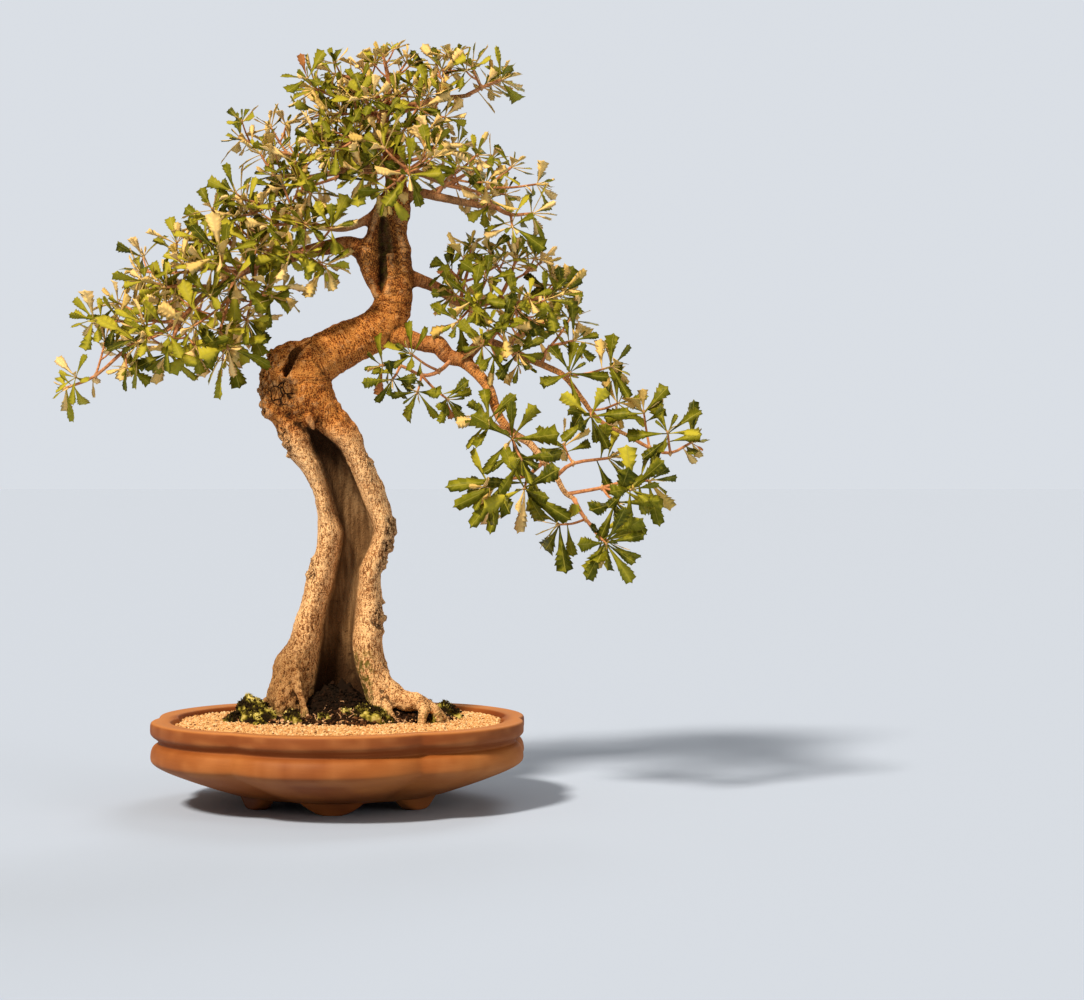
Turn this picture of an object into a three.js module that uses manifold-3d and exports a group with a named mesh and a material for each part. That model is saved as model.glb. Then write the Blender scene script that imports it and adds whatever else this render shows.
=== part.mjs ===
// Coast banksia bonsai: an old hollow-trunked tree leaning over its six-lobed pot of unglazed clay.
// Millimetres, +Z up. The front of the tree faces -Y. Points in the tables are [x, y, z] or
// [x, y, z, radius], measured from the middle of the pot at the height its feet stand on.
import * as THREE from "three";
import { mergeVertices } from "three/addons/utils/BufferGeometryUtils.js";
import Module from "manifold-3d";

const wasm = await Module();
wasm.setup();

// Driving dimensions
const POT_RADIUS = 222;
const RIM_WIDTH = 24;
const RIM_TOP = 100;
const FLOOR_TOP = 20;
const FOOT_RADIUS = 105;
const FOOT_DEPTH = 20;
const LOBES = 6;
const DRAIN_RADIUS = 13;
const DRAIN_CUT = 60;
const GRAVEL_BOTTOM = 84;
const GRAVEL_TOP = 97;
const MOUND_HALF_WIDTH = 134;
const MOUND_HALF_DEPTH = 64;
const MOUND_RISE = 15;
const LEAF_THICKNESS = 0.8;
const CLEARANCE = 0.35;
const FINEST_DETAIL = 0.15;

const UP = new THREE.Vector3(0, 0, 1);
const vec = ([x, y, z]) => new THREE.Vector3(x, y, z);
const mix = (a, b, t) => a + (b - a) * t;

// An even spread of values from 0 to 1, the same for the same number.
function wobble(number) {
  const wave = Math.sin(number * 12.9898) * 43758.5453;
  return wave - Math.floor(wave);
}

// Solids and meshes

function solidOf(geometry) {
  const bare = geometry.clone();
  bare.deleteAttribute("normal");
  bare.deleteAttribute("uv");
  const merged = mergeVertices(bare, 1e-4);
  const build = (triVerts) =>
    new wasm.Manifold(
      new wasm.Mesh({ numProp: 3, vertProperties: merged.attributes.position.array, triVerts }),
    );
  const triangles = new Uint32Array(merged.index.array);
  const made = build(triangles);
  return made.volume() < 0 ? build(triangles.reverse()) : made;
}

function geometryOf(solid) {
  const { vertProperties, triVerts, numProp, numVert } = solid.getMesh();
  const positions = new Float32Array(numVert * 3);
  for (let i = 0; i < numVert; i++) {
    positions.set(vertProperties.subarray(i * numProp, i * numProp + 3), i * 3);
  }
  const geometry = new THREE.BufferGeometry();
  geometry.setAttribute("position", new THREE.BufferAttribute(positions, 3));
  geometry.setIndex(new THREE.BufferAttribute(triVerts, 1));
  geometry.computeVertexNormals();
  return geometry;
}

const join = (solids) => solids.reduce((all, solid) => all.add(solid));

// The largest body of a cut solid: the scraps that a cut leaves are dropped.
function largest(solid) {
  return solid.decompose().reduce((best, body) => (body.volume() > best.volume() ? body : best));
}

// The side faces of a tube of rings that follow one another in a list of points.
function tubeFaces(ringCount, sides) {
  const index = [];
  for (let start = 0; start < (ringCount - 1) * sides; start += sides) {
    for (let i = 0; i < sides; i++) {
      const j = (i + 1) % sides;
      index.push(start + i, start + j, start + sides + j);
      index.push(start + i, start + sides + j, start + sides + i);
    }
  }
  return index;
}

// A closed solid through rings of equal length, each end closed by a fan about its middle.
function loft(rings) {
  const sides = rings[0].length;
  const middle = (ring) =>
    ring.reduce((sum, point) => sum.add(point), new THREE.Vector3()).divideScalar(sides);
  const points = [...rings.flat(), middle(rings[0]), middle(rings.at(-1))];
  const index = tubeFaces(rings.length, sides);
  const lastRing = (rings.length - 1) * sides;
  for (let i = 0; i < sides; i++) {
    const j = (i + 1) % sides;
    index.push(points.length - 2, j, i, points.length - 1, lastRing + i, lastRing + j);
  }
  const geometry = new THREE.BufferGeometry().setFromPoints(points);
  return solidOf(geometry.setIndex(index));
}

// The direction of a limb at each of its points, with two directions square to it that turn as little as
// they can from one point to the next.
function limbFrames(points) {
  const centres = points.map(vec);
  const last = centres.length - 1;
  let side = new THREE.Vector3(0.3, 1, 0.1);
  return centres.map((_, k) => {
    const axis = centres[Math.min(k + 1, last)].clone().sub(centres[Math.max(k - 1, 0)]).normalize();
    side = side.clone().addScaledVector(axis, -side.dot(axis)).normalize();
    return { axis, side, other: axis.clone().cross(side) };
  });
}

// The rings of a limb with a round section through [x, y, z, radius] points.
function limbRings(points, sides, grow = 0) {
  return limbFrames(points).map(({ axis, side, other }, k) => {
    const along = k === 0 ? -grow : k === points.length - 1 ? grow : 0;
    return Array.from({ length: sides }, (_, i) => {
      const angle = (2 * Math.PI * i) / sides;
      return vec(points[k])
        .addScaledVector(axis, along)
        .addScaledVector(side, Math.cos(angle) * (points[k][3] + grow))
        .addScaledVector(other, Math.sin(angle) * (points[k][3] + grow));
    });
  });
}

const limb = (points, sides, grow = 0) => loft(limbRings(points, sides, grow));

// Pot

// Angles round the pot, closer together where two lobes meet. 0 is the front, at -Y.
const LOBE_STEPS = [-0.5, -0.4, -0.16, 0.16, 0.4];
const ROUND = Array.from({ length: LOBES }, (_, k) =>
  LOBE_STEPS.map((u) => ({ angle: (2 * Math.PI * (k + u)) / LOBES, fold: Math.pow(Math.abs(2 * u), 3) })),
).flat();

// One lobed ring: radius is that of a lobe's crown, and notch is how far the fold between lobes cuts in.
function lobedRing(radius, z, notch) {
  return ROUND.map(({ angle, fold }) => {
    const r = radius * (1 - notch * fold);
    return new THREE.Vector3(r * Math.sin(angle), -r * Math.cos(angle), z);
  });
}

const POT_OUTSIDE = [
  [96, 8, 0.06],
  [124, 10.5, 0.12],
  [POT_RADIUS - 26, 35, 0.11],
  [POT_RADIUS - 3, 46, 0.075],
  [POT_RADIUS, 58, 0.06],
  [POT_RADIUS - 14, 70, 0.06],
  [POT_RADIUS - 13, 78, 0.06],
  [POT_RADIUS, 88, 0.06],
  [POT_RADIUS - 3, RIM_TOP, 0.055],
];
const POT_INSIDE = [
  [POT_RADIUS - RIM_WIDTH, RIM_TOP, 0.055],
  [POT_RADIUS - RIM_WIDTH - 3, 93, 0.055],
  [POT_RADIUS - RIM_WIDTH - 2, 74, 0.055],
  [POT_RADIUS - 14, 57, 0.06],
  [POT_RADIUS - 30, 43, 0.09],
  [126, 22, 0.11],
  [90, FLOOR_TOP, 0.06],
];
const SOIL_SLICES = 5;

// A cloud foot under one lobe: a plate cut from a rounded trapezium, its flat sole at z = 0.
function foot(turn) {
  const outline = new THREE.Shape(
    [[-32, 15], [-23, 7], [-15, 1.5], [-11, 0], [11, 0], [15, 1.5], [23, 7], [32, 15]].map(
      ([across, height]) => new THREE.Vector2(across, height),
    ),
  );
  const plate = new THREE.ExtrudeGeometry(outline, { depth: FOOT_DEPTH, bevelEnabled: false });
  plate.rotateX(Math.PI / 2);
  plate.translate(0, FOOT_DEPTH / 2 - FOOT_RADIUS, 0);
  plate.rotateZ(turn);
  return solidOf(plate);
}

function pot() {
  const bowl = loft([...POT_OUTSIDE, ...POT_INSIDE].map((row) => lobedRing(...row)));
  const feet = Array.from({ length: LOBES }, (_, k) => foot((2 * Math.PI * k) / LOBES));
  const drain = new THREE.CylinderGeometry(DRAIN_RADIUS, DRAIN_RADIUS, DRAIN_CUT, 14);
  drain.rotateX(Math.PI / 2);
  return join([bowl, ...feet]).subtract(solidOf(drain));
}

// The plastic mesh over the drain hole, with its openings drawn large.
const SCREEN_HALF = 20;
const SCREEN_THICKNESS = 1.2;
function drainScreen() {
  const plate = new THREE.Shape();
  plate.moveTo(-SCREEN_HALF, -SCREEN_HALF);
  plate.lineTo(SCREEN_HALF, -SCREEN_HALF);
  plate.lineTo(SCREEN_HALF, SCREEN_HALF);
  plate.lineTo(-SCREEN_HALF, SCREEN_HALF);
  for (const [x, y] of [[-7, -7], [7, -7], [-7, 7], [7, 7]]) {
    const opening = new THREE.Path();
    opening.absarc(x, y, 5, 0, 2 * Math.PI, true);
    plate.holes.push(opening);
  }
  const flat = { depth: SCREEN_THICKNESS, bevelEnabled: false, curveSegments: 4 };
  const mesh = new THREE.ExtrudeGeometry(plate, flat);
  mesh.translate(0, 0, FLOOR_TOP + 0.3);
  return solidOf(mesh);
}

// Soil, gravel and moss

// The edge of the root mound, an uneven oval inside the pot.
function moundEdge(angle) {
  const across = Math.sin(angle) / MOUND_HALF_WIDTH;
  const deep = Math.cos(angle) / MOUND_HALF_DEPTH;
  const waver = 1 + 0.05 * Math.sin(3 * angle + 1) + 0.035 * Math.sin(5 * angle);
  return waver / Math.hypot(across, deep);
}

function moundHeight(x, y, share) {
  const lumps = 2.2 * Math.sin(x * 0.11 + 1) * Math.cos(y * 0.13) + 1.4 * Math.sin(x * 0.23 + y * 0.19);
  return GRAVEL_TOP + 2 + (MOUND_RISE + lumps) * (1 - share * share);
}

function moundRing(share, inset, height) {
  return ROUND.map(({ angle }) => {
    const r = (moundEdge(angle) - inset) * share;
    const [x, y] = [r * Math.sin(angle), -r * Math.cos(angle)];
    return new THREE.Vector3(x, y, height ?? moundHeight(x, y, share));
  });
}

// The soil that fills the pot and rises to the mound, with the mound's wall this far inside its edge.
function soil(inset) {
  const wall = [...POT_INSIDE].reverse().slice(0, SOIL_SLICES);
  const inPot = wall.map(([radius, z, notch]) => lobedRing(radius - 1, z + 0.5, notch));
  const shelf = lobedRing(POT_RADIUS - RIM_WIDTH - 4, GRAVEL_BOTTOM, 0.055);
  const edge = [GRAVEL_BOTTOM, GRAVEL_TOP].map((height) => moundRing(1, inset, height));
  const mound = [0.85, 0.6, 0.3].map((share) => moundRing(share, inset));
  const screenRoom = new THREE.BoxGeometry(2 * SCREEN_HALF + 1, 2 * SCREEN_HALF + 1, 4);
  screenRoom.translate(0, 0, FLOOR_TOP);
  return loft([...inPot, shelf, ...edge, ...mound]).subtract(solidOf(screenRoom));
}

// The gold top dressing: a ring between the pot's wall and the mound, its top heaped and uneven.
const GRAVEL_STEPS = [0, 0.3, 0.65, 1];
const GRAVEL_SLOPE = 3.5;
function gravel() {
  const section = ({ angle, fold }) => {
    const outer = (POT_RADIUS - RIM_WIDTH - 3.2) * (1 - 0.055 * fold) - CLEARANCE;
    const inner = moundEdge(angle) + CLEARANCE;
    const at = (r, z) => new THREE.Vector3(r * Math.sin(angle), -r * Math.cos(angle), z);
    const top = GRAVEL_STEPS.map((t, k) => {
      const grain = 1.8 * (wobble(angle * 31 + k * 7) - 0.5);
      return at(mix(inner, outer, t), GRAVEL_TOP - GRAVEL_SLOPE * t * t + (t < 1 ? grain : 0));
    });
    return [at(inner, GRAVEL_BOTTOM + CLEARANCE), at(outer - 2, GRAVEL_BOTTOM + CLEARANCE), ...top.reverse()];
  };
  const sections = ROUND.map(section);
  const sides = sections[0].length;
  const index = [];
  sections.forEach((_, s) => {
    const here = s * sides;
    const next = ((s + 1) % sections.length) * sides;
    for (let i = 0; i < sides; i++) {
      const j = (i + 1) % sides;
      index.push(here + i, next + i, next + j, here + i, next + j, here + j);
    }
  });
  return solidOf(new THREE.BufferGeometry().setFromPoints(sections.flat()).setIndex(index));
}

// Moss cushions on the mound: middle, half widths and height of the crown.
const MOSS = {
  moss_left: { x: -99, y: -30, halfWidth: 33, halfDepth: 26, crown: 125 },
  moss_centre: { x: 34, y: -50, halfWidth: 31, halfDepth: 13, crown: 117 },
  moss_right: { x: 124, y: 12, halfWidth: 21, halfDepth: 17, crown: 120 },
};

const MOSS_SIDES = 11;
function mossCushion({ x, y, halfWidth, halfDepth, crown }) {
  const base = GRAVEL_TOP - 4;
  const rings = [0, 0.35, 0.7, 0.93].map((lift) => {
    const share = Math.sqrt(1 - lift * lift);
    return Array.from({ length: MOSS_SIDES }, (_, i) => {
      const angle = (2 * Math.PI * i) / MOSS_SIDES;
      const lump = 1 + 0.12 * Math.sin(i * 2.4 + x) + 0.06 * Math.sin(i * 5 + lift * 9);
      return new THREE.Vector3(
        x + halfWidth * share * lump * Math.cos(angle),
        y + halfDepth * share * lump * Math.sin(angle),
        mix(base, crown, lift),
      );
    });
  });
  return loft(rings);
}

// Trunk

// Level slices of the lower trunk, from its foot in the soil to the crown of the bend. A slice is
// [z, left edge, right edge, left lip, right lip, middle, front, back, open, floor]: the lips stand either
// side of the hollow that runs up the front, open is 0 where the trunk is whole, and floor is how far
// behind the middle the hollow's dead wood lies.
const LOWER_TRUNK = [
  [76, -74, 58, -28, 28, 0, 38, 40, 1, -10],
  [100, -80, 61, -31, 31, 0, 41, 42, 1, 13],
  [122, -82, 63, -33, 31, 0, 41, 42, 1, 15],
  [142, -80, 59, -29, 25, 0, 39, 40, 1, 16],
  [164, -77, 54, -25, 18, 1, 36, 37, 1, 16],
  [184, -63, 50, -22, 15, 2, 34, 35, 1, 15],
  [206, -53, 50, -21, 17, 2, 32, 34, 1, 14],
  [230, -47, 50, -16, 19, 3, 31, 33, 1, 14],
  [252, -41, 48, -9, 21, 4, 31, 33, 1, 14],
  [274, -35, 51, -5, 23, 5, 30, 32, 1, 14],
  [298, -29, 60, 0, 35, 6, 30, 32, 1, 13],
  [318, -26, 64, 2, 40, 6, 30, 32, 1, 13],
  [338, -26, 62, -6, 34, 5, 30, 32, 1, 13],
  [358, -31, 55, -10, 25, 4, 30, 32, 1, 13],
  [376, -38, 47, -15, 19, 3, 30, 32, 1, 12],
  [394, -49, 40, -21, 11, 2, 31, 33, 1, 11],
  [413, -62, 30, -30, 0, 0, 31, 34, 1, 9],
  [430, -68, 23, -36, -18, -1, 32, 35, 0.9, 4],
  [446, -80, 14, -42, -32, -2, 33, 36, 0.35, -6],
  [462, -89, 1, -44, -38, -3, 34, 37, 0, 0],
  [480, -93, -8, -50, -50, -4, 34, 38, 0, 0],
  [498, -90, -11, -50, -50, -4, 34, 38, 0, 0],
  [514, -84, -14, -50, -50, -4, 32, 36, 0, 0],
  [527, -78, -22, -50, -50, -4, 26, 29, 0, 0],
  [538, -62, -38, -50, -50, -4, 11, 13, 0, 0],
];

// The upright top of the trunk, hollow again between a left and a right strip.
const UPPER_TRUNK = [
  [566, 42, 82, 60, 60, 0, 19, 21, 0, 0],
  [582, 43, 84, 58, 60, 0, 20, 22, 0, 0],
  [593, 38, 86, 50, 56, 0, 21, 23, 0.6, -4],
  [606, 31, 86, 46, 58, 0, 21, 24, 1, 3],
  [620, 24, 84, 44, 63, 0, 21, 24, 1, 6],
  [636, 19, 83, 43, 64, 0, 21, 24, 1, 7],
  [650, 22, 80, 43, 62, 0, 20, 23, 1, 7],
  [664, 34, 76, 45, 60, 0, 18, 22, 1, 6],
  [680, 39, 82, 46, 58, 0, 19, 21, 1, 4],
  [694, 41, 84, 48, 56, 0, 19, 20, 0.5, -4],
  [708, 46, 80, 52, 56, 1, 17, 18, 0, -4],
];

const BACK_STEPS = 8;
const STRIP_TURNS = [36, 72, 108, 150];

// One slice of the trunk: round the back from right to left, then along the left strip, the hollow and the
// right strip.
function trunkSlice([z, left, right, lipLeft, lipRight, middle, front, back, open, floor]) {
  const [centre, half, hollow] = [(left + right) / 2, (right - left) / 2, lipRight - lipLeft];
  const turn = (degrees) => (degrees * Math.PI) / 180;
  const points = [];
  for (let k = 0; k <= BACK_STEPS; k++) {
    const a = (Math.PI * k) / BACK_STEPS;
    points.push([centre + half * Math.cos(a), middle + back * Math.sin(a)]);
  }
  const strip = (from, to, turns) =>
    turns.map((t) => [
      mix(from, to, 0.5 - 0.5 * Math.cos(turn(t))),
      middle - front * Math.sin(turn(t)),
    ]);
  const hollowed = [
    ...strip(left, lipLeft, STRIP_TURNS),
    [lipLeft + 0.06 * hollow, middle + 0.6 * floor],
    [lipLeft + 0.32 * hollow, middle + floor],
    [lipRight - 0.32 * hollow, middle + floor],
    [lipRight - 0.06 * hollow, middle + 0.6 * floor],
    ...strip(lipRight, right, STRIP_TURNS.map((t) => 180 - t).reverse()),
  ];
  hollowed.forEach(([x, y], k) => {
    const a = Math.PI * (1 + (k + 1) / (hollowed.length + 1));
    points.push([
      mix(centre + half * Math.cos(a), x, open),
      mix(middle + front * Math.sin(a), y, open),
    ]);
  });
  const lump = (k) => 1 + 0.035 * Math.sin(z * 0.09 + k * 1.9) + 0.02 * Math.sin(z * 0.21 + k * 3.1);
  return points.map(([x, y], k) => {
    const swell = k <= BACK_STEPS ? lump(k) : 1;
    return new THREE.Vector3(centre + (x - centre) * (0.5 + 0.5 * swell), middle + (y - middle) * swell, z);
  });
}

// The same slice moved outwards by a distance, for the clearance of what touches the wood.
function offsetSlice(ring, distance) {
  return ring.map((point, k) => {
    const before = ring[(k + ring.length - 1) % ring.length];
    const after = ring[(k + 1) % ring.length];
    const along = after.clone().sub(before).normalize();
    return point.clone().add(new THREE.Vector3(along.y, -along.x, 0).multiplyScalar(distance));
  });
}

function trunkLength(slices, grow) {
  const rings = slices.map(trunkSlice).map((ring) => offsetSlice(ring, grow * 1.2));
  rings[0].forEach((point) => (point.z -= grow));
  rings.at(-1).forEach((point) => (point.z += grow));
  return loft(rings);
}

// The leaning length between the bend and the upright top, and the roots that show.
const LEANING_TRUNK = [
  [-74, -4, 478, 27], [-54, -4, 499, 31], [-33, -3, 513, 29.5], [-9, -2, 526, 28], [18, -1, 539, 26],
  [42, 0, 552, 25.5], [56, 0, 567, 23.5], [62, 0, 588, 21],
];
const ROOTS = [
  [[36, -14, 164, 14], [54, -22, 136, 14], [76, -28, 121, 12.5], [98, -33, 119, 12], [110, -38, 88, 8]],
  [[94, -36, 122, 9], [96, -45, 110, 8], [94, -49, 86, 7]],
  [[102, -30, 119, 9], [115, -34, 106, 8], [119, -38, 86, 7]],
  [[-50, -30, 160, 7], [-45, -41, 138, 6.5], [-38, -46, 116, 6.5], [-35, -46, 88, 6]],
  [[-66, -22, 140, 9], [-66, -38, 118, 6.5], [-62, -44, 88, 5]],
  [[-60, 6, 132, 14], [-92, 14, 112, 11], [-108, 18, 84, 8]],
  [[-20, 26, 150, 14], [-34, 50, 118, 11], [-40, 60, 84, 8]],
  [[28, 24, 150, 15], [52, 46, 118, 12], [64, 54, 84, 8]],
];

// The slot on the bend, where a limb was lost long ago, and the small knot hole beside it.
const BEND_SLOT = [
  [-16, -27, 553, 3], [-30, -31, 541, 5.5], [-45, -36, 524, 6.5], [-54, -39, 506, 5.5], [-60, -39, 489, 3],
];
const KNOT_HOLE = [[-5, -36, 543, 4.5], [-5, -22, 543, 3]];

// Limbs: the branches that are one piece with the trunk

const LIMBS = {
  left_main: [
    [44, 0, 632, 11], [17, -2, 649, 11], [-8, -6, 648, 9.4], [-31, -9, 643, 8.2], [-55, -10, 636, 7.2],
    [-80, -12, 630, 6.4], [-107, -14, 620, 5.6], [-134, -16, 604, 5], [-160, -20, 587, 4.4],
    [-181, -24, 562, 3.8], [-207, -26, 546, 3.2],
  ],
  leader: [[63, 0, 698, 16], [66, 2, 727, 12.5], [60, 4, 756, 10.5], [50, 6, 785, 8.5], [54, 4, 814, 6.5]],
  low_left: [[50, 0, 690, 8], [28, -12, 676, 5.6], [9, -20, 668, 4.8], [-8, -26, 667, 4]],
  apex_left: [[62, 3, 738, 7], [38, -6, 738, 5.2], [8, -12, 735, 4.5], [-29, -16, 728, 3.7]],
  apex_mid_left: [[56, 5, 768, 6], [28, 8, 764, 4.6], [-5, 10, 757, 3.9], [-41, 12, 756, 3.2]],
  apex_right: [[54, 4, 810, 6], [87, 0, 812, 5.2], [113, -4, 818, 4.3], [148, -6, 823, 3.4]],
  right_up: [
    [70, 0, 706, 9], [95, -6, 710, 6.6], [113, -8, 706, 5.7], [150, -10, 698, 5], [182, -12, 693, 4.2],
  ],
  right_back: [[62, 4, 742, 6], [90, 30, 738, 4.8], [120, 52, 728, 3.9]],
  back: [[62, 3, 735, 7], [64, 36, 746, 5.6], [58, 70, 752, 4.4]],
  front: [[64, 2, 742, 6], [74, -28, 740, 5.2], [80, -52, 736, 4]],
  mid_right: [
    [76, 3, 615, 9.5], [103, 8, 606, 7.8], [122, 12, 596, 7.2], [140, 16, 585, 6.6], [160, 20, 583, 5.6],
    [185, 22, 588, 4.6], [210, 22, 584, 3.8],
  ],
  low_right: [
    [58, -4, 548, 13.5], [83, -10, 540, 10.8], [103, -14, 534, 10], [115, -17, 534, 11], [127, -20, 520, 9.6],
    [143, -24, 516, 9],
  ],
  cascade: [
    [143, -24, 516, 8], [155, -22, 526, 6.8], [168, -18, 537, 6], [190, -14, 532, 5.2], [219, -12, 518, 4.8],
    [246, -14, 506, 4.4], [262, -16, 497, 4.1], [280, -20, 474, 3.8], [302, -24, 446, 3.5],
    [336, -28, 428, 3],
  ],
  drop: [
    [143, -24, 516, 8.4], [153, -28, 508, 7.8], [165, -32, 496, 7.2], [175, -36, 482, 6.6],
    [182, -38, 462, 6.1], [189, -40, 446, 5.7], [204, -42, 430, 5.3], [223, -42, 418, 4.9],
    [238, -42, 398, 4.5], [252, -42, 381, 4.1], [262, -42, 363, 3.8], [272, -42, 356, 3.4],
  ],
};

function limbPoint(name, at) {
  const points = LIMBS[name];
  const k = Math.min(Math.floor(at), points.length - 2);
  return [0, 1, 2].map((axis) => mix(points[k][axis], points[k + 1][axis], at - k));
}

// All the wood that grew as one piece. With grow it is that much stouter, to cut clearance in its neighbours.
function wood(grow = 0) {
  const branches = Object.values(LIMBS).map((points) => limb(points, points[0][3] > 7.5 ? 6 : 5, grow));
  const roots = ROOTS.map((points) => limb(points, 5, grow));
  const solid = join([
    trunkLength(LOWER_TRUNK, grow),
    trunkLength(UPPER_TRUNK, grow),
    limb(LEANING_TRUNK, 11, grow),
    ...roots,
    ...branches,
  ]);
  return grow ? solid : solid.subtract(limb(BEND_SLOT, 6)).subtract(limb(KNOT_HOLE, 6));
}

// Foliage

// The leafy sprays: [limb, place along the limb's points, leaf length, stem, side twigs]. The stem runs from
// the limb through its own points to a whorl of leaves. A side twig is [stem point it leaves, x, y, z], where
// point 0 is on the limb, and it ends in a whorl too.
const SPRAYS = {
  left_01: [
    "left_main", 10, 34, [[-241, -28, 530], [-279, -30, 497], [-313, -30, 483]], [[2, -272, -6, 538]],
  ],
  left_02: ["left_main", 9.1, 34, [[-215, -6, 562], [-258, 2, 583]], [[1, -282, -24, 562]]],
  left_03: ["left_main", 6.2, 32, [[-150, 12, 624], [-195, 30, 620], [-236, 34, 622]], [[2, -190, 4, 652]]],
  left_04: ["left_main", 7.2, 32, [[-160, -40, 600], [-194, -50, 598]], [[1, -222, -30, 606]]],
  left_05: ["left_main", 8.4, 36, [[-180, -44, 556], [-192, -52, 522]], [[1, -226, -52, 534]]],
  left_06: ["left_main", 5.2, 38, [[-100, -46, 620], [-113, -68, 606]], [[1, -146, -68, 624]]],
  left_07: ["left_main", 6.5, 38, [[-124, -38, 585], [-132, -56, 548]], [[1, -162, -62, 552]]],
  left_08: ["left_main", 5.6, 34, [[-98, -20, 596], [-104, -30, 562]], [[1, -76, -42, 588]]],
  left_09: ["low_left", 3, 36, [[-45, -34, 676], [-80, -28, 692], [-112, -20, 702]], [[1, -72, -54, 668]]],
  left_10: ["left_main", 4.1, 32, [[-90, 20, 648], [-130, 26, 655], [-163, 16, 656]], [[1, -122, 0, 676]]],
  left_11: ["left_main", 3.8, 32, [[-70, 42, 642], [-100, 74, 640], [-132, 92, 632]], [[1, -76, 98, 656]]],
  left_12: ["left_main", 7.6, 32, [[-160, 22, 600], [-190, 52, 592], [-216, 66, 586]], [[1, -176, 70, 566]]],
  left_13: ["left_main", 3.1, 34, [[-38, -38, 640], [-50, -64, 636]], [[1, -14, -46, 622]]],
  apex_01: ["apex_mid_left", 3, 25, [[-60, 12, 757], [-86, 12, 765], [-115, 10, 775]], [[1, -82, 24, 790]]],
  apex_02: ["apex_left", 3, 28, [[-50, -20, 726], [-72, -25, 728]], [[1, -46, -50, 740]]],
  apex_03: ["leader", 3.6, 30, [[30, 2, 808], [0, -4, 820], [-26, -10, 830]], [[1, -14, 22, 804]]],
  apex_04: ["leader", 3.7, 26, [[40, -2, 830], [18, -6, 842], [-4, -6, 848]], [[1, 26, 22, 856]]],
  apex_05: ["leader", 4, 26, [[58, -2, 838], [52, -8, 868]], [[1, 78, -2, 862]]],
  apex_06: ["apex_right", 2, 27, [[124, -10, 842], [134, -10, 862]], [[1, 112, 16, 852]]],
  apex_07: ["apex_right", 3, 29, [[166, -8, 832], [188, -6, 841]], [[1, 156, -22, 852]]],
  apex_08: ["apex_right", 1, 27, [[92, -26, 806], [96, -50, 802]], [[1, 124, -34, 794]]],
  apex_09: ["leader", 3.2, 27, [[44, -22, 800], [34, -52, 812]], [[1, 4, -42, 798]]],
  apex_10: ["leader", 2.3, 28, [[42, -30, 766], [24, -58, 766]], [[1, -22, -46, 766]]],
  apex_11: ["front", 2, 32, [[84, -70, 730], [86, -88, 722]], [[1, 58, -84, 752], [1, 114, -66, 756]]],
  apex_12: ["back", 2, 28, [[58, 92, 760], [58, 116, 768]], [[1, 16, 98, 778]]],
  apex_13: ["apex_left", 1, 28, [[20, 36, 742], [-10, 68, 736], [-36, 86, 730]], [[2, 0, 86, 760]]],
  apex_14: ["leader", 3.4, 27, [[52, 38, 808], [46, 66, 820]], [[1, 86, 54, 816]]],
  apex_15: ["right_back", 2, 28, [[138, 64, 724], [162, 76, 720]], [[1, 130, 86, 748]]],
  right_01: ["right_up", 4, 36, [[200, -16, 684], [224, -10, 686]], [[1, 202, -40, 668]]],
  right_02: ["right_up", 3, 28, [[172, 6, 718], [200, 10, 742]], [[1, 230, 8, 722]]],
  right_03: ["right_up", 2, 28, [[128, -22, 726], [140, -44, 736]], [[1, 172, -46, 718]]],
  right_04: ["leader", 1.6, 27, [[95, 2, 752], [138, 0, 766]], [[1, 112, -26, 782]]],
  right_05: ["right_up", 1.4, 28, [[122, 22, 722], [150, 30, 738], [176, 34, 754]], [[1, 192, 44, 714]]],
  mid_01: ["mid_right", 3, 30, [[146, 0, 608], [154, -12, 632]], [[1, 180, 0, 624]]],
  mid_02: ["mid_right", 4, 34, [[160, -12, 588], [158, -46, 584]], [[1, 140, -36, 560]]],
  mid_03: ["mid_right", 5, 34, [[196, 12, 608], [206, -2, 634]], [[1, 232, 22, 630]]],
  mid_04: ["mid_right", 6, 36, [[232, 12, 590], [258, 0, 594]], [[1, 252, 36, 606]]],
  mid_05: ["mid_right", 5.5, 34, [[206, -12, 574], [206, -44, 574]], [[1, 240, -38, 584]]],
  mid_06: ["mid_right", 4.2, 32, [[166, 50, 590], [174, 82, 592]], [[1, 208, 72, 584]]],
  mid_07: ["cascade", 2.3, 36, [[184, -36, 548], [190, -56, 552]], [[1, 208, -50, 522]]],
  mid_08: ["cascade", 3.2, 34, [[208, 12, 546], [228, 44, 550]], [[1, 240, 8, 562]]],
  low_01: ["cascade", 4.6, 36, [[244, -8, 530], [272, -14, 538]], [[1, 268, 10, 564]]],
  low_02: ["cascade", 6, 38, [[268, -42, 500]], [[0, 316, -14, 508]]],
  low_03: ["cascade", 7.6, 38, [[292, -50, 450]], [[0, 324, 0, 466]]],
  low_04: [
    "cascade", 9, 40, [[360, -30, 414], [384, -32, 408], [408, -32, 420]],
    [[1, 354, -20, 454], [2, 380, -54, 430]],
  ],
  low_05: ["drop", 6, 44, [[202, -68, 424]], [[0, 176, -58, 446]]],
  low_06: ["drop", 8, 50, [[219, -48, 382], [198, -52, 378], [176, -54, 370]], [[1, 216, -74, 368]]],
  low_07: ["drop", 11, 48, [[286, -48, 332], [310, -52, 308]], [[1, 256, -56, 326]]],
  low_08: ["drop", 10.3, 46, [[305, -40, 368], [334, -42, 376], [358, -44, 376]], [[1, 320, -66, 352]]],
  low_09: ["drop", 9, 42, [[272, -26, 396], [312, -20, 402]], [[1, 262, -6, 416]]],
  low_10: [
    "low_right", 4.4, 32, [[118, -42, 502], [98, -48, 497], [74, -54, 508], [54, -56, 508]],
    [[2, 94, -60, 478]],
  ],
};
const STEM_RADIUS = 2.6;
const TWIG_RADIUS = 1.7;
const WHORL_PLACES = 5;
const END_WHORL = [0, 1, 2, 4];
const SIDE_WHORL = [0, 1, 3];

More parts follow.
